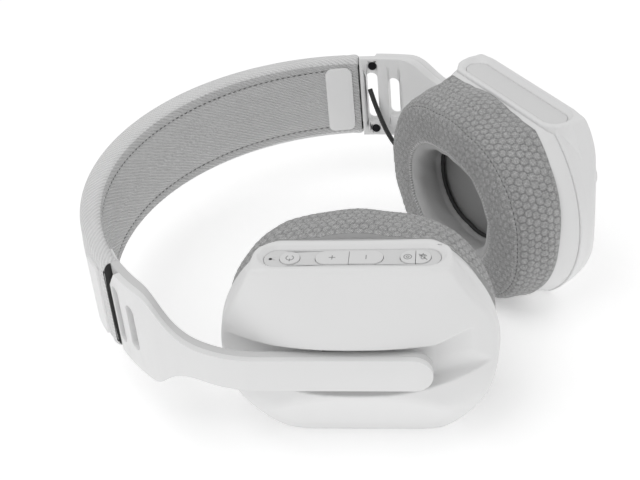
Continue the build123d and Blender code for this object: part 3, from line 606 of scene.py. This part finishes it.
def thread_mesh(name, starts, ends, radius, material, lifts):
    """Short stitches between pairs of points in metres, each a thin thread bowed towards its lift."""
    sides, rings, bulge = 6, 5, 0.35
    points, faces, uvs = [], [], []
    for k, (start, end) in enumerate(zip(starts, ends)):
        start, end = Vector(start), Vector(end)
        axis = (end - start).normalized()
        up = Vector(lifts[k]).normalized()
        across = axis.cross(up).normalized()
        base = len(points)
        for ring in range(rings):
            t = ring / (rings - 1)
            swell = math.sin(math.pi * (0.12 + 0.76 * t))
            centre = start.lerp(end, t) + up * radius * bulge * (2 * math.sin(math.pi * t) - 0.8)
            for side in range(sides):
                angle = 2 * math.pi * side / sides
                points.append(centre + (across * math.cos(angle) + up * math.sin(angle)) * radius * swell)
        for ring in range(rings - 1):
            for side in range(sides):
                a, b = base + ring * sides + side, base + ring * sides + (side + 1) % sides
                faces.append((a, b, b + sides, a + sides))
                t0, t1 = ring * 0.4, (ring + 1) * 0.4
                w0, w1 = side * 0.25, (side + 1) * 0.25
                uvs.append(((t0, w0), (t0, w1), (t1, w1), (t1, w0)))
        for ring in (0, rings - 1):
            a = base + ring * sides
            for quad in ((a, a + 1, a + 2, a + 3), (a, a + 3, a + 4, a + 5)):
                faces.append(quad if ring else quad[::-1])
            uvs += [((0, 0), (0, 0.2), (0.2, 0.2), (0.2, 0))] * 2
    return make_piece(name, np.array(points), np.array(faces), [material], uvs=np.array(uvs))


sleeve = build_sleeve()
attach(sleeve, "headband")
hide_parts("headband_sleeve", "headband_cushion_foam", "headband_top_foam")

SEAL_COLUMNS = 120
SEAL_RINGS = {-0.8: 0.88, -0.3: 0.93, -0.1: 0.93, 0.05: 0.88}
seal_loop = sleeve_loop(float(sleeve_thickness(SLEEVE_END)), SEAL_COLUMNS)[0]
seal_middle = sleeve_thickness(SLEEVE_END) / 2
seal_faces = grid_faces(len(SEAL_RINGS), SEAL_COLUMNS, wrap_columns=True)[0]
for side, sign in SIDES.items():
    rings = [band_points(sign * (SLEEVE_END + past), seal_loop[:, 0] * share,
                         seal_middle + (seal_loop[:, 1] - seal_middle) * share)
             for past, share in SEAL_RINGS.items()]
    seal = make_piece(f"{side}_sleeve_seal", np.concatenate(rings), seal_faces, [piping_black], flip=sign > 0)
    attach(seal, "headband")

BAND_THREAD = 0.19
STITCH_PITCH = 2.5
STITCH_LENGTH = 1.5
stitch_middles = np.arange(-(SLEEVE_END - 8), SLEEVE_END - 8, STITCH_PITCH)
starts, ends, lifts = [], [], []
for rear in (-STITCH_LINE, STITCH_LINE):
    for middle in stitch_middles:
        pair = band_points(np.array([middle - STITCH_LENGTH / 2, middle + STITCH_LENGTH / 2]), rear, 0.38)
        top = band_points(middle, rear, -1.0) - band_points(middle, rear, 0.0)
        starts.append(pair[0])
        ends.append(pair[1])
        lifts.append(top)
band_stitches = thread_mesh("headband_stitches", starts, ends, BAND_THREAD * MM, stitch_dark, lifts)
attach(band_stitches, "headband")

# --- Ear pads: simulated cushions with an embossed wall, a sewn face and a liner ---

PAD_FACE = 1.0
PAD_BACK = 17.1
PAD_SIZE = (92.5, 77.0)
PAD_CORNER = 35.0
EAR_OPENING = (48.0, 38.0)
EAR_CORNER = 18.0
CUP_OFFSET = -4.4
CUP_RADIUS = 47.8
REAR_FLAT = 34.9
FRONT_FLAT = 43.1
SEAM = 29.5
SEAM_SHARE = 0.88
FOOT_LEAN = 6.0
FLOOR_Q = -43.0
PAD_WIDTH = 21.0
VOXEL = 4.0
LAST_FRAME = 20
SWELL_LIMIT = 5.0


def rounded_reach(size, corner, directions):
    """Distance from the middle to a rounded rectangle's edge in these directions."""
    half_p, half_q = size[0] / 2 - corner, size[1] / 2 - corner
    edge = []
    for sp, sq, start in ((1, 1, 0), (-1, 1, 90), (-1, -1, 180), (1, -1, 270)):
        for angle in np.radians(np.linspace(start, start + 90, 40)):
            edge.append((sp * half_p + corner * math.cos(angle), sq * half_q + corner * math.sin(angle)))
    edge = np.array(edge)
    angle = np.mod(np.arctan2(edge[:, 1], edge[:, 0]), 2 * np.pi)
    order = np.argsort(angle)
    return np.interp(np.mod(directions, 2 * np.pi), angle[order], np.hypot(*edge[order].T), period=2 * np.pi)


def even_directions(size, corner, count):
    """Directions that space points evenly round a rounded rectangle, and its length."""
    fine = np.linspace(0, 2 * np.pi, 2001)
    reach = rounded_reach(size, corner, fine)
    length = path_lengths(np.stack([reach * np.cos(fine), reach * np.sin(fine)], axis=1))
    return np.interp(np.linspace(0, length[-1], count + 1)[:-1], length, fine), length[-1]


def pad_section(count, inset=0.0):
    """Section of a pad: share from opening to outer edge, n, and length along it from the liner's foot."""
    corners = np.array([
        (0.03, PAD_BACK), (0.0, 15.0), (-0.03, 11.0), (-0.08, 7.5), (-0.11, 4.8), (-0.06, 2.6),
        (0.10, 1.5), (0.40, 1.1), (0.66, 1.5), (0.81, 2.4), (0.89, 3.6), (0.96, 5.8), (1.0, 9.2),
        (1.015, 12.6), (1.02, 16.0), (1.01, PAD_BACK + 1.1),
    ])
    middle = np.array([0.5, (PAD_FACE + PAD_BACK) / 2])
    shrink = np.array([inset / PAD_WIDTH, inset])
    corners = corners - np.sign(corners - middle) * shrink * (np.abs(corners - middle) > np.array([0.2, 4.0]))
    smooth = corners
    for _ in range(3):
        first, last = smooth[:1], smooth[-1:]
        a = 0.75 * smooth[:-1] + 0.25 * smooth[1:]
        b = 0.25 * smooth[:-1] + 0.75 * smooth[1:]
        smooth = np.concatenate([first, np.stack([a, b], axis=1).reshape(-1, 2), last])
    length = path_lengths(smooth * np.array([PAD_WIDTH, 1.0]))
    at = np.linspace(0, length[-1], count)
    share = np.interp(at, length, smooth[:, 0])
    level = np.interp(at, length, smooth[:, 1])
    return share, level, at


def housing_reach(directions, level):
    """How far the housing reaches from the middle in these directions, at each n."""
    inset = np.clip(3.5 * (SEAM - level) / 10.7, 0, 3.5)
    flat = np.where(np.sin(directions) > 0, REAR_FLAT - CUP_OFFSET, FRONT_FLAT + CUP_OFFSET)
    to_flat = (flat - inset) / np.maximum(np.abs(np.sin(directions)), 0.05)
    return np.minimum(CUP_RADIUS - inset, to_flat)


def pad_grid(rows, columns, inset=0.0):
    """Cup coordinates of a pad's surface, section by section and open along its foot, and of its core."""
    directions, length = even_directions(PAD_SIZE, PAD_CORNER, columns)
    inner = rounded_reach(EAR_OPENING, EAR_CORNER, directions)
    outer = rounded_reach(PAD_SIZE, PAD_CORNER, directions)
    share, level, at = pad_section(rows, inset)
    reach = inner[None] + share[:, None] * (outer - inner)[None]
    rear = reach * np.sin(directions) + CUP_OFFSET
    # towards the rear, the foot leans over the housing and lies snugly against it
    lean = np.clip((rear + 36) / 70, 0, 1) * FOOT_LEAN
    along_wall = (share[:, None] > 0.7) * np.clip((level[:, None] - 4) / (PAD_BACK - 3), 0, 1)
    level = level[:, None] + lean * along_wall
    housing = housing_reach(directions, level) + 0.35
    snug = smooth_step((level - 13.5) / 4.5) * (share[:, None] > 0.7)
    reach = reach + np.maximum(housing - reach, 0) * snug
    rear = reach * np.sin(directions) + CUP_OFFSET
    points = np.stack([reach * np.cos(directions), rear, level], axis=2)
    middle = (inner + outer) / 2
    core = np.stack([
        middle * np.cos(directions), middle * np.sin(directions) + CUP_OFFSET,
        np.full(columns, (PAD_FACE + PAD_BACK) / 2),
    ], axis=1)
    return points, core, at, share, directions, length


def inflate_pad():
    """A cloth-simulated, air-filled copy of the pad in cup coordinates (millimetres), as a lookup tree."""
    points = pad_grid(26, 110, inset=0.9)[0]
    faces = grid_faces(*points.shape[:2], wrap_rows=True, wrap_columns=True)[0]
    body = make_piece("pad_form", points.reshape(-1, 3) * MM, faces, [])
    scene = bpy.context.scene
    bpy.context.view_layer.objects.active = body
    remesh = body.modifiers.new("remesh", "REMESH")
    remesh.mode = "VOXEL"
    remesh.voxel_size = VOXEL * MM
    bpy.ops.object.select_all(action="DESELECT")
    body.select_set(True)
    bpy.ops.object.modifier_apply(modifier=remesh.name)
    start = np.array([v.co for v in body.data.vertices])
    held = body.vertex_groups.new(name="held")
    held.add([k for k, co in enumerate(start) if co[2] > (PAD_BACK - 2.6) * MM], 1.0, "REPLACE")
    cloth = body.modifiers.new("cloth", "CLOTH")
    cloth.settings.use_pressure = True
    cloth.settings.uniform_pressure_force = 4
    cloth.settings.vertex_group_mass = "held"
    cloth.settings.quality = 5
    cloth.settings.effector_weights.gravity = 0
    cloth.point_cache.frame_start = 1
    cloth.point_cache.frame_end = LAST_FRAME
    for step in range(1, LAST_FRAME + 1):
        scene.frame_set(step)
    bpy.ops.object.modifier_apply(modifier=cloth.name)
    scene.frame_set(1)
    shift = np.array([v.co for v in body.data.vertices]) - start
    distance = np.linalg.norm(shift, axis=1, keepdims=True)
    shift *= np.minimum(1, SWELL_LIMIT * MM / np.maximum(distance, TINY))
    body.data.vertices.foreach_set("co", (start + shift).astype(np.float32).ravel())
    subdivision = body.modifiers.new("smooth", "SUBSURF")
    subdivision.levels = 1
    bpy.ops.object.modifier_apply(modifier=subdivision.name)
    tree = BVHTree.FromPolygons(
        [v.co / MM for v in body.data.vertices], [polygon.vertices[:] for polygon in body.data.polygons]
    )
    bpy.data.objects.remove(body)
    return tree


def hexagon_edge(u, v, pitch):
    """Distance from a point to the nearest edge of a honeycomb of this pitch."""
    wide = np.array([1.0, math.sqrt(3)]) * pitch
    half_wide = wide / 2
    a = np.stack([np.mod(u, wide[0]) - half_wide[0], np.mod(v, wide[1]) - half_wide[1]])
    b = np.stack([
        np.mod(u - half_wide[0], wide[0]) - half_wide[0], np.mod(v - half_wide[1], wide[1]) - half_wide[1],
    ])
    near = np.abs(np.where((a**2).sum(0) < (b**2).sum(0), a, b))
    return pitch / 2 - np.maximum(near[0], near[0] * 0.5 + near[1] * 0.8660254)


pad_tree = inflate_pad()
HEX_CELLS = 88
PAD_ROWS = 130
PAD_COLUMNS = 832
LIP_N = 2.6
SEAM_DEPTH = 0.65
RIM_DEPTH = 0.5
SIMULATED_SHARE = 0.75


def pad_surface():
    """The finished pad surface in cup coordinates, with its normals, lengths, seam, rim and the painted shade
    of its honeycomb's sunk lines.
    """
    points, core, at, share, directions, length = pad_grid(PAD_ROWS, PAD_COLUMNS)
    if pad_tree is not None:
        for column in range(PAD_COLUMNS):
            centre = Vector(core[column])
            for row in range(PAD_ROWS):
                base = Vector(points[row, column])
                hit = pad_tree.ray_cast(centre, (base - centre).normalized())[0]
                if hit is None:
                    continue
                weight = float(smooth_step((PAD_BACK - 0.8 - base.z) / 3.0)) * SIMULATED_SHARE
                points[row, column] = base.lerp(hit, weight)
    normal = grid_normals(points)
    if (normal[PAD_ROWS // 2, 0] @ (points[PAD_ROWS // 2, 0] - core[0])) < 0:
        normal = -normal
    row_number = np.arange(PAD_ROWS)
    peak = int(np.argmax(share > SEAM_SHARE))
    opening_row = int(np.argmax((points[..., 2].mean(axis=1) < LIP_N) & (row_number > 10)))
    wall = np.clip((row_number - peak) / 4.0, 0, 1)
    face = np.clip((peak - row_number) / 4.0, 0, 1) * np.clip((row_number - opening_row - 3) / 4.0, 0, 1)
    pitch = length / HEX_CELLS
    u = np.broadcast_to(np.arange(PAD_COLUMNS) * length / PAD_COLUMNS, points.shape[:2])
    v = np.zeros(points.shape[:2])
    v[1:] = np.cumsum(np.linalg.norm(np.diff(points, axis=0), axis=2), axis=0)
    face_edge = hexagon_edge(points[..., 0], points[..., 1], pitch)
    edge = np.where((row_number < peak)[:, None], face_edge, hexagon_edge(u, v - v[peak], pitch))
    cells = smooth_step(edge / 0.42)
    emboss = 0.34 * (cells - 0.8) + 0.12 * smooth_step(edge / 1.3)
    seam = np.exp(-((at - at[peak]) / 0.5) ** 2)[:, None] * SEAM_DEPTH
    rim = np.exp(-((at - at[opening_row]) / 0.45) ** 2)[:, None] * RIM_DEPTH
    foot = smooth_step((at[-1] - at - 0.4) / 1.6)[:, None]
    theta = directions[None]
    soft = 0.16 * np.sin(7 * theta + 0.35 * v) * np.sin(0.42 * v + 2 * theta)
    soft = soft + 0.10 * np.sin(17 * theta + 0.6 * v)
    past_rim = (at - at[opening_row] - 1.4) / 1.3
    pucker = 0.14 * np.sin(directions * 58)[None] * np.exp(-past_rim**2)[:, None]
    mesh_share = (wall + 0.7 * face)[:, None]
    relief = mesh_share * emboss * foot - seam - rim + pucker
    relief = relief + soft * (0.4 + 0.6 * (1 - wall[:, None])) * foot
    points = points + normal * relief[..., None]
    points[..., 1] = np.maximum(points[..., 1], FLOOR_Q)
    # painted shade for the pad materials: lower along the honeycomb's sunk lines
    shade = 1 - mesh_share * (1 - cells)
    return points, normal, at, peak, opening_row, shade, length


pad_points, pad_normals, pad_at, seam_row, rim_row, pad_painted_shade, pad_length = pad_surface()
STITCH_LIFT = 0.08


def pad_stitches(row, every, reach, slant):
    """Ends and lifts, in cup coordinates, of stitches that follow one row of the pad."""
    starts, ends, lifts = [], [], []
    for column in range(0, PAD_COLUMNS, every):
        after = (column + reach) % PAD_COLUMNS
        rise = STITCH_LIFT * pad_normals[row, column]
        starts.append(pad_points[row - slant, column] + rise)
        ends.append(pad_points[row + slant, after] + rise)
        lifts.append(pad_normals[row, column])
    return np.array(starts), np.array(ends), np.array(lifts)


def cup_directions(side, vectors):
    """Directions in cup coordinates to directions in the headset's frame."""
    _, down, rear, out = cup_axes(side)
    return vectors @ np.stack([down, rear, out])


def pad_faces():
    """The pad's faces, closed over its foot, with their surface coordinates and materials."""
    faces, i, j = grid_faces(PAD_ROWS, PAD_COLUMNS, wrap_columns=True)
    step = pad_length / PAD_COLUMNS
    round_pad = np.stack([j * step, j * step, (j + 1) * step, (j + 1) * step], axis=1)
    along_section = np.stack([pad_at[i], pad_at[i + 1], pad_at[i + 1], pad_at[i]], axis=1)
    flat_face = ((i >= rim_row) & (i < seam_row))[:, None, None]
    flat_uvs = pad_points.reshape(-1, 3)[faces][..., :2]
    uvs = np.where(flat_face, flat_uvs, np.stack([round_pad, along_section], axis=2))
    regions = np.where(i < rim_row, 2, np.where(i < seam_row, 1, 0))
    first = np.arange(PAD_COLUMNS)
    last = first + (PAD_ROWS - 1) * PAD_COLUMNS
    closing = np.stack([last, first, np.roll(first, -1), np.roll(last, -1)], axis=1)
    uvs = np.concatenate([uvs, np.zeros((PAD_COLUMNS, 4, 2))])
    return np.concatenate([faces, closing]), uvs, np.append(regions, np.full(PAD_COLUMNS, 2))


PAD_STITCHES = {
    "seam": (seam_row, 7, 4, 0, 0.17, stitch_dark), "rim": (rim_row + 1, 6, 3, 2, 0.2, stitch_pale),
}
faces, uvs, regions = pad_faces()
for side, sign in SIDES.items():
    finishes = [SLOT_MATERIALS["pad_fabric"], pad_face, SLOT_MATERIALS["pad_foam"]]
    # the relief attribute carries the painted shade of the honeycomb's sunk lines
    pad = make_piece(f"{side}_pad_cushion", cup_points(side, pad_points.reshape(-1, 3)), faces, finishes,
                     flip=sign > 0, uvs=uvs, regions=regions, relief=pad_painted_shade.ravel())
    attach(pad, f"{side}_cup")
    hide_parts(f"{side}_ear_pad")
    for label, (row, every, reach, slant, radius, thread) in PAD_STITCHES.items():
        starts, ends, lifts = pad_stitches(row, every, reach, slant)
        stitches = thread_mesh(
            f"{side}_pad_{label}_stitches", cup_points(side, starts), cup_points(side, ends), radius * MM,
            thread, cup_directions(side, lifts),
        )
        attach(stitches, f"{side}_cup")

# --- Outer covers: one smooth moulded shell each, with the groove, the bar, its recess and the neck hole ---

DOME_TOP = 54.5
BAR_N = 34.8
COVER_WALL = 2.0
COVER_CELL = 0.7


def stadium(a, b, length, width):
    """Signed distance to a stadium whose long side runs along a."""
    return np.hypot(np.maximum(np.abs(a) - (length - width) / 2, 0), b) - width / 2


def cup_block(p, q, n):
    """The cup's rounded outline under its sloping outer faces, without a floor."""
    flats = np.maximum(q - REAR_FLAT, -FRONT_FLAT - q)
    # the rear corners stand out of the circle as wedges, and the seam's edge flares over the housing
    across, back = np.abs(p), q - CUP_OFFSET
    circle = np.hypot(across, back)
    corner = np.where(back > 0.547 * across, 0.877 * across + 0.480 * back, circle)
    side = corner + 0.6 * np.maximum(36 - n, 0)
    flare = 0.5 * np.clip((33 - n) / 3, 0, 1)
    outline = smooth_max(np.minimum(circle, side) - CUP_RADIUS - flare, flats, 1.4)
    # two sloping facets under a shallow dome, with rounded front corners
    rear = (n - DOME_TOP + 0.4458 * (q - 10)) / 1.095
    front = (n - DOME_TOP - 0.589 * (q + 10)) / 1.161
    top = smooth_max(rear, np.hypot(p, n + 17.5) - 72, 7.0)
    top = smooth_max(top, front, 1.6)
    top = smooth_max(top, (n - 35.5 - 0.9 * (54.7 - np.hypot(p, q - 6))) / 1.345, 2.5)
    return smooth_max(outline, top, 1.8)


def arm_groove(p, q, n):
    """The groove that the arm lies in, which opens towards the rear beyond the arm's tip."""
    past = np.maximum(p - 27, 0)
    half = 7.4 + 0.2 * (n - 46)
    sides = np.maximum(q - half - 0.35 * past, -q - half - 1.2) / 1.02
    scoop = 0.2 * past * smooth_step((q + 7) / 9)
    return smooth_max(sides, 140 - np.hypot(p, n - scoop + 94), 1.6)


def cover_field(p, q, n):
    """Signed distance, nearly, to the outer cover."""
    block = cup_block(p, q, n)
    groove = arm_groove(p, q, n)
    outside = smooth_max(block, -groove, 0.6)
    shell = np.maximum(outside, -outside - COVER_WALL)
    bar_face = stadium(p, n - BAR_N, 66.0, 16.5)
    bar = np.maximum(smooth_max(bar_face, q - REAR_FLAT, 0.8), 29 - q)
    shell = smooth_min(shell, bar, 0.8)
    depth = np.clip((REAR_FLAT - q) * 3.4 / 1.5, 0, 3.4)
    recess = np.maximum(stadium(p, n - BAR_N, 62 - depth, 13 - depth), 20 - q)
    shell = smooth_max(shell, -recess, 0.35)
    neck = np.maximum(np.hypot(p - PIVOT_P, q) - 4.2, 36 - n)
    shell = smooth_max(shell, -neck, 0.4)
    below = np.minimum(SEAM - n, bar)
    return smooth_max(shell, below, 0.45)


cover_points, cover_quads, cover_normals = surface_net(
    cover_field, (-49.5, -45.0, 25.5), (49.5, 37.0, 57.0), COVER_CELL
)
for side, sign in SIDES.items():
    cover = make_piece(
        f"{side}_cover_shell", cup_points(side, cover_points), cover_quads, [SLOT_MATERIALS["white_shell"]],
        flip=sign > 0, normals=cup_directions(side, cover_normals),
    )
    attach(cover, f"{side}_cup")
    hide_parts(f"{side}_outer_cover")

# --- Ear openings: acoustic cloth and the black piping at the foot of each liner ---

CLOTH_SIZE = (56.0, 46.0)
CLOTH_CORNER = 21.0
CLOTH_RINGS = 40
CLOTH_COLUMNS = 160
CLOTH_N = 17.42
CLOTH_RISE = 0.22
cloth_directions, _ = even_directions(CLOTH_SIZE, CLOTH_CORNER, CLOTH_COLUMNS)
cloth_reach = rounded_reach(CLOTH_SIZE, CLOTH_CORNER, cloth_directions)
ring_share = np.linspace(0.02, 1.0, CLOTH_RINGS)[:, None]
cloth_p = ring_share * cloth_reach * np.cos(cloth_directions)
cloth_q = ring_share * cloth_reach * np.sin(cloth_directions)
stretch = 0.10 * np.sin(3 * cloth_directions + 0.5) * np.sin(ring_share * 7)
cloth_n = CLOTH_N + CLOTH_RISE * (1 - ring_share**2) + stretch * smooth_step((1 - ring_share) * 5)
cloth_points = np.stack([cloth_p, cloth_q + CUP_OFFSET, cloth_n], axis=2)
cloth_faces = grid_faces(CLOTH_RINGS, CLOTH_COLUMNS, wrap_columns=True)[0]
centre_fan = np.array([[k, (k + 1) % CLOTH_COLUMNS, (k + 2) % CLOTH_COLUMNS, CLOTH_RINGS * CLOTH_COLUMNS]
                       for k in range(0, CLOTH_COLUMNS, 2)])
cloth_faces = np.concatenate([cloth_faces, centre_fan])
cloth_flat = np.append(cloth_points.reshape(-1, 3), [[0, CUP_OFFSET, CLOTH_N + CLOTH_RISE]], axis=0)

PIPING_N = 15.9
PIPING_RADIUS = 0.8
PIPING_SIDES = 12
PIPING_COLUMNS = 220
piping_directions, _ = even_directions(EAR_OPENING, EAR_CORNER, PIPING_COLUMNS)
piping_reach = rounded_reach(EAR_OPENING, EAR_CORNER, piping_directions) - 0.5
turns = np.linspace(0, 2 * np.pi, PIPING_SIDES + 1)[:-1, None]
piping_radius = PIPING_RADIUS * (1 + 0.06 * np.sin(piping_directions * 45))
piping_out = piping_reach + piping_radius * np.cos(turns)
piping_points = np.stack([
    piping_out * np.cos(piping_directions), piping_out * np.sin(piping_directions) + CUP_OFFSET,
    PIPING_N + piping_radius * np.sin(turns),
], axis=2)
piping_faces = grid_faces(PIPING_SIDES, PIPING_COLUMNS, wrap_rows=True, wrap_columns=True)[0]

for side, sign in SIDES.items():
    cloth = make_piece(
        f"{side}_cloth_membrane", cup_points(side, cloth_flat), cloth_faces,
        [SLOT_MATERIALS["acoustic_cloth"]], flip=sign > 0, uvs=cloth_flat[cloth_faces][..., :2],
    )
    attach(cloth, f"{side}_cup")
    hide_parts(f"{side}_acoustic_cloth")
    piping = make_piece(f"{side}_pad_piping", cup_points(side, piping_points.reshape(-1, 3)), piping_faces,
                        [piping_black], flip=sign > 0)
    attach(piping, f"{side}_cup")

# --- Audio wires: one smooth line each along the frame's route, the left one closer to its arm ---

WIRE_RADIUS = 1.05
WIRE_BAND = [(103.6, 3.5, 1.4), (105.4, -1.0, -1.6), (108.0, -8.5, -2.6), (111.0, -16.5, -3.0)]
WIRE_MIDDLE = {"left": (-20.0, -21.5, -20.5), "right": (-23.0, -27.0, -25.5)}
for side, sign in SIDES.items():
    route = [band_points(sign * distance, rear, height) for distance, rear, height in WIRE_BAND]
    first, second, third = WIRE_MIDDLE[side]
    route += list(cup_points(side, [
        (-73.5, first, 24.2), (-67.0, second, 26.5), (-60.0, third, 26.2), (-54.6, -20.0, 24.7),
        (-49.8, -16.0, 23.8), (-44.6, -16.0, 23.8),
    ]))
    curve = bpy.data.curves.new(f"{side}_wire_line", "CURVE")
    curve.dimensions = "3D"
    curve.resolution_u = 14
    curve.bevel_depth = WIRE_RADIUS * MM
    curve.bevel_resolution = 5
    curve.use_fill_caps = True
    spline = curve.splines.new("NURBS")
    spline.points.add(len(route) - 1)
    for point, place in zip(spline.points, route):
        point.co = (*place, 1)
    spline.order_u = 3
    spline.use_endpoint_u = True
    holder = bpy.data.objects.new(f"{side}_wire_holder", curve)
    bpy.context.scene.collection.objects.link(holder)
    bpy.context.view_layer.update()
    tube = bpy.data.meshes.new_from_object(holder.evaluated_get(bpy.context.evaluated_depsgraph_get()))
    bpy.data.objects.remove(holder)
    for polygon in tube.polygons:
        polygon.use_smooth = True
    tube.materials.clear()
    tube.materials.append(SLOT_MATERIALS["black_rubber"])
    wire = bpy.data.objects.new(f"{side}_wire", tube)
    bpy.context.scene.collection.objects.link(wire)
    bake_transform(wire)
    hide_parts(f"{side}_audio_wire")

# --- Moulded edges: a small round on every sharp edge of the frame's own mouldings ---

EDGE_WIDTHS = {
    "arm_frame": 0.45, "arm_cover": 0.7, "inner_housing": 0.35, "clamp_plate": 0.35, "button": 0.25,
    "panel": 0.15,
}
for node_name, piece in frame["nodes"].items():
    widths = [width for key, width in EDGE_WIDTHS.items() if key in node_name and "board" not in node_name]
    if not widths:
        continue
    weld = piece.modifiers.new("weld", "WELD")
    weld.merge_threshold = 0.00001
    bevel = piece.modifiers.new("edges", "BEVEL")
    bevel.width = widths[0] * MM
    bevel.segments = 3
    bevel.limit_method = "ANGLE"
    bevel.angle_limit = math.radians(32)
    bevel.harden_normals = True
    for polygon in piece.data.polygons:
        polygon.use_smooth = True

# --- Button icons: generic marks, each a thin raised print on its button ---

ICON_LIFT = 0.06
ICON_LINE = 0.42


def icon_strokes(name):
    """Lines (p, n) of one icon in millimetres, round its own middle."""
    def ring(radius, start, stop, lift=0.0):
        angles = np.radians(np.linspace(start, stop, 28))
        return [(radius * math.cos(a), lift + radius * math.sin(a)) for a in angles]
    if name == "power":
        return [ring(1.25, -60, 240), [(0, 0.5), (0, 1.9)]]
    if name == "plus":
        return [[(-1.1, 0), (1.1, 0)], [(0, -1.1), (0, 1.1)]]
    if name == "minus":
        return [[(0, -1.1), (0, 1.1)]]
    if name == "mode":
        return [ring(1.25, 0, 360), ring(0.45, 0, 360)]
    return [ring(0.6, 0, 180, lift=0.7) + ring(0.6, 180, 360, lift=-0.1) + [(0.6, 0.7)],
            ring(1.15, 190, 350), [(0, -1.15), (0, -1.8)], [(-1.4, -1.4), (1.4, 1.7)]]


def ribbon(lines, centre, top):
    """Cup coordinates and faces of flat raised strips along these lines."""
    points, faces = [], []
    for line in lines:
        line = np.array(line, float)
        along = np.gradient(line, axis=0)
        along /= np.maximum(np.linalg.norm(along, axis=1, keepdims=True), 1e-9)
        across = np.stack([-along[:, 1], along[:, 0]], axis=1) * ICON_LINE / 2
        base = len(points)
        for middle, side in zip(line, across):
            for offset, height in ((1.0, -0.1), (0.75, ICON_LIFT), (-0.75, ICON_LIFT), (-1.0, -0.1)):
                place = middle + side * offset + centre
                points.append((place[0], top + height, place[1]))
        for row in range(len(line) - 1):
            for column in range(4):
                a, b = base + row * 4 + column, base + row * 4 + (column + 1) % 4
                faces.append((a, b, b + 4, a + 4))
        last = base + 4 * (len(line) - 1)
        faces.append((base + 3, base + 2, base + 1, base))
        faces.append((last, last + 1, last + 2, last + 3))
    return np.array(points), np.array(faces)


ICONS = {
    "power": ("power_button", -20.5), "plus": ("volume_up_button", -6.5),
    "minus": ("volume_down_button", 4.7), "mode": ("mode_button", 18.3), "mic": ("mic_mute_button", 23.3),
}
for icon, (button, place) in ICONS.items():
    top = (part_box(button)[1][2] / MM) - MIDDLE_Z
    points, faces = ribbon(icon_strokes(icon), np.array([place, BAR_N]), top)
    mark = make_piece(f"{icon}_icon", cup_points("left", points), faces, [icon_paint], smooth=False)
    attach(mark, button)
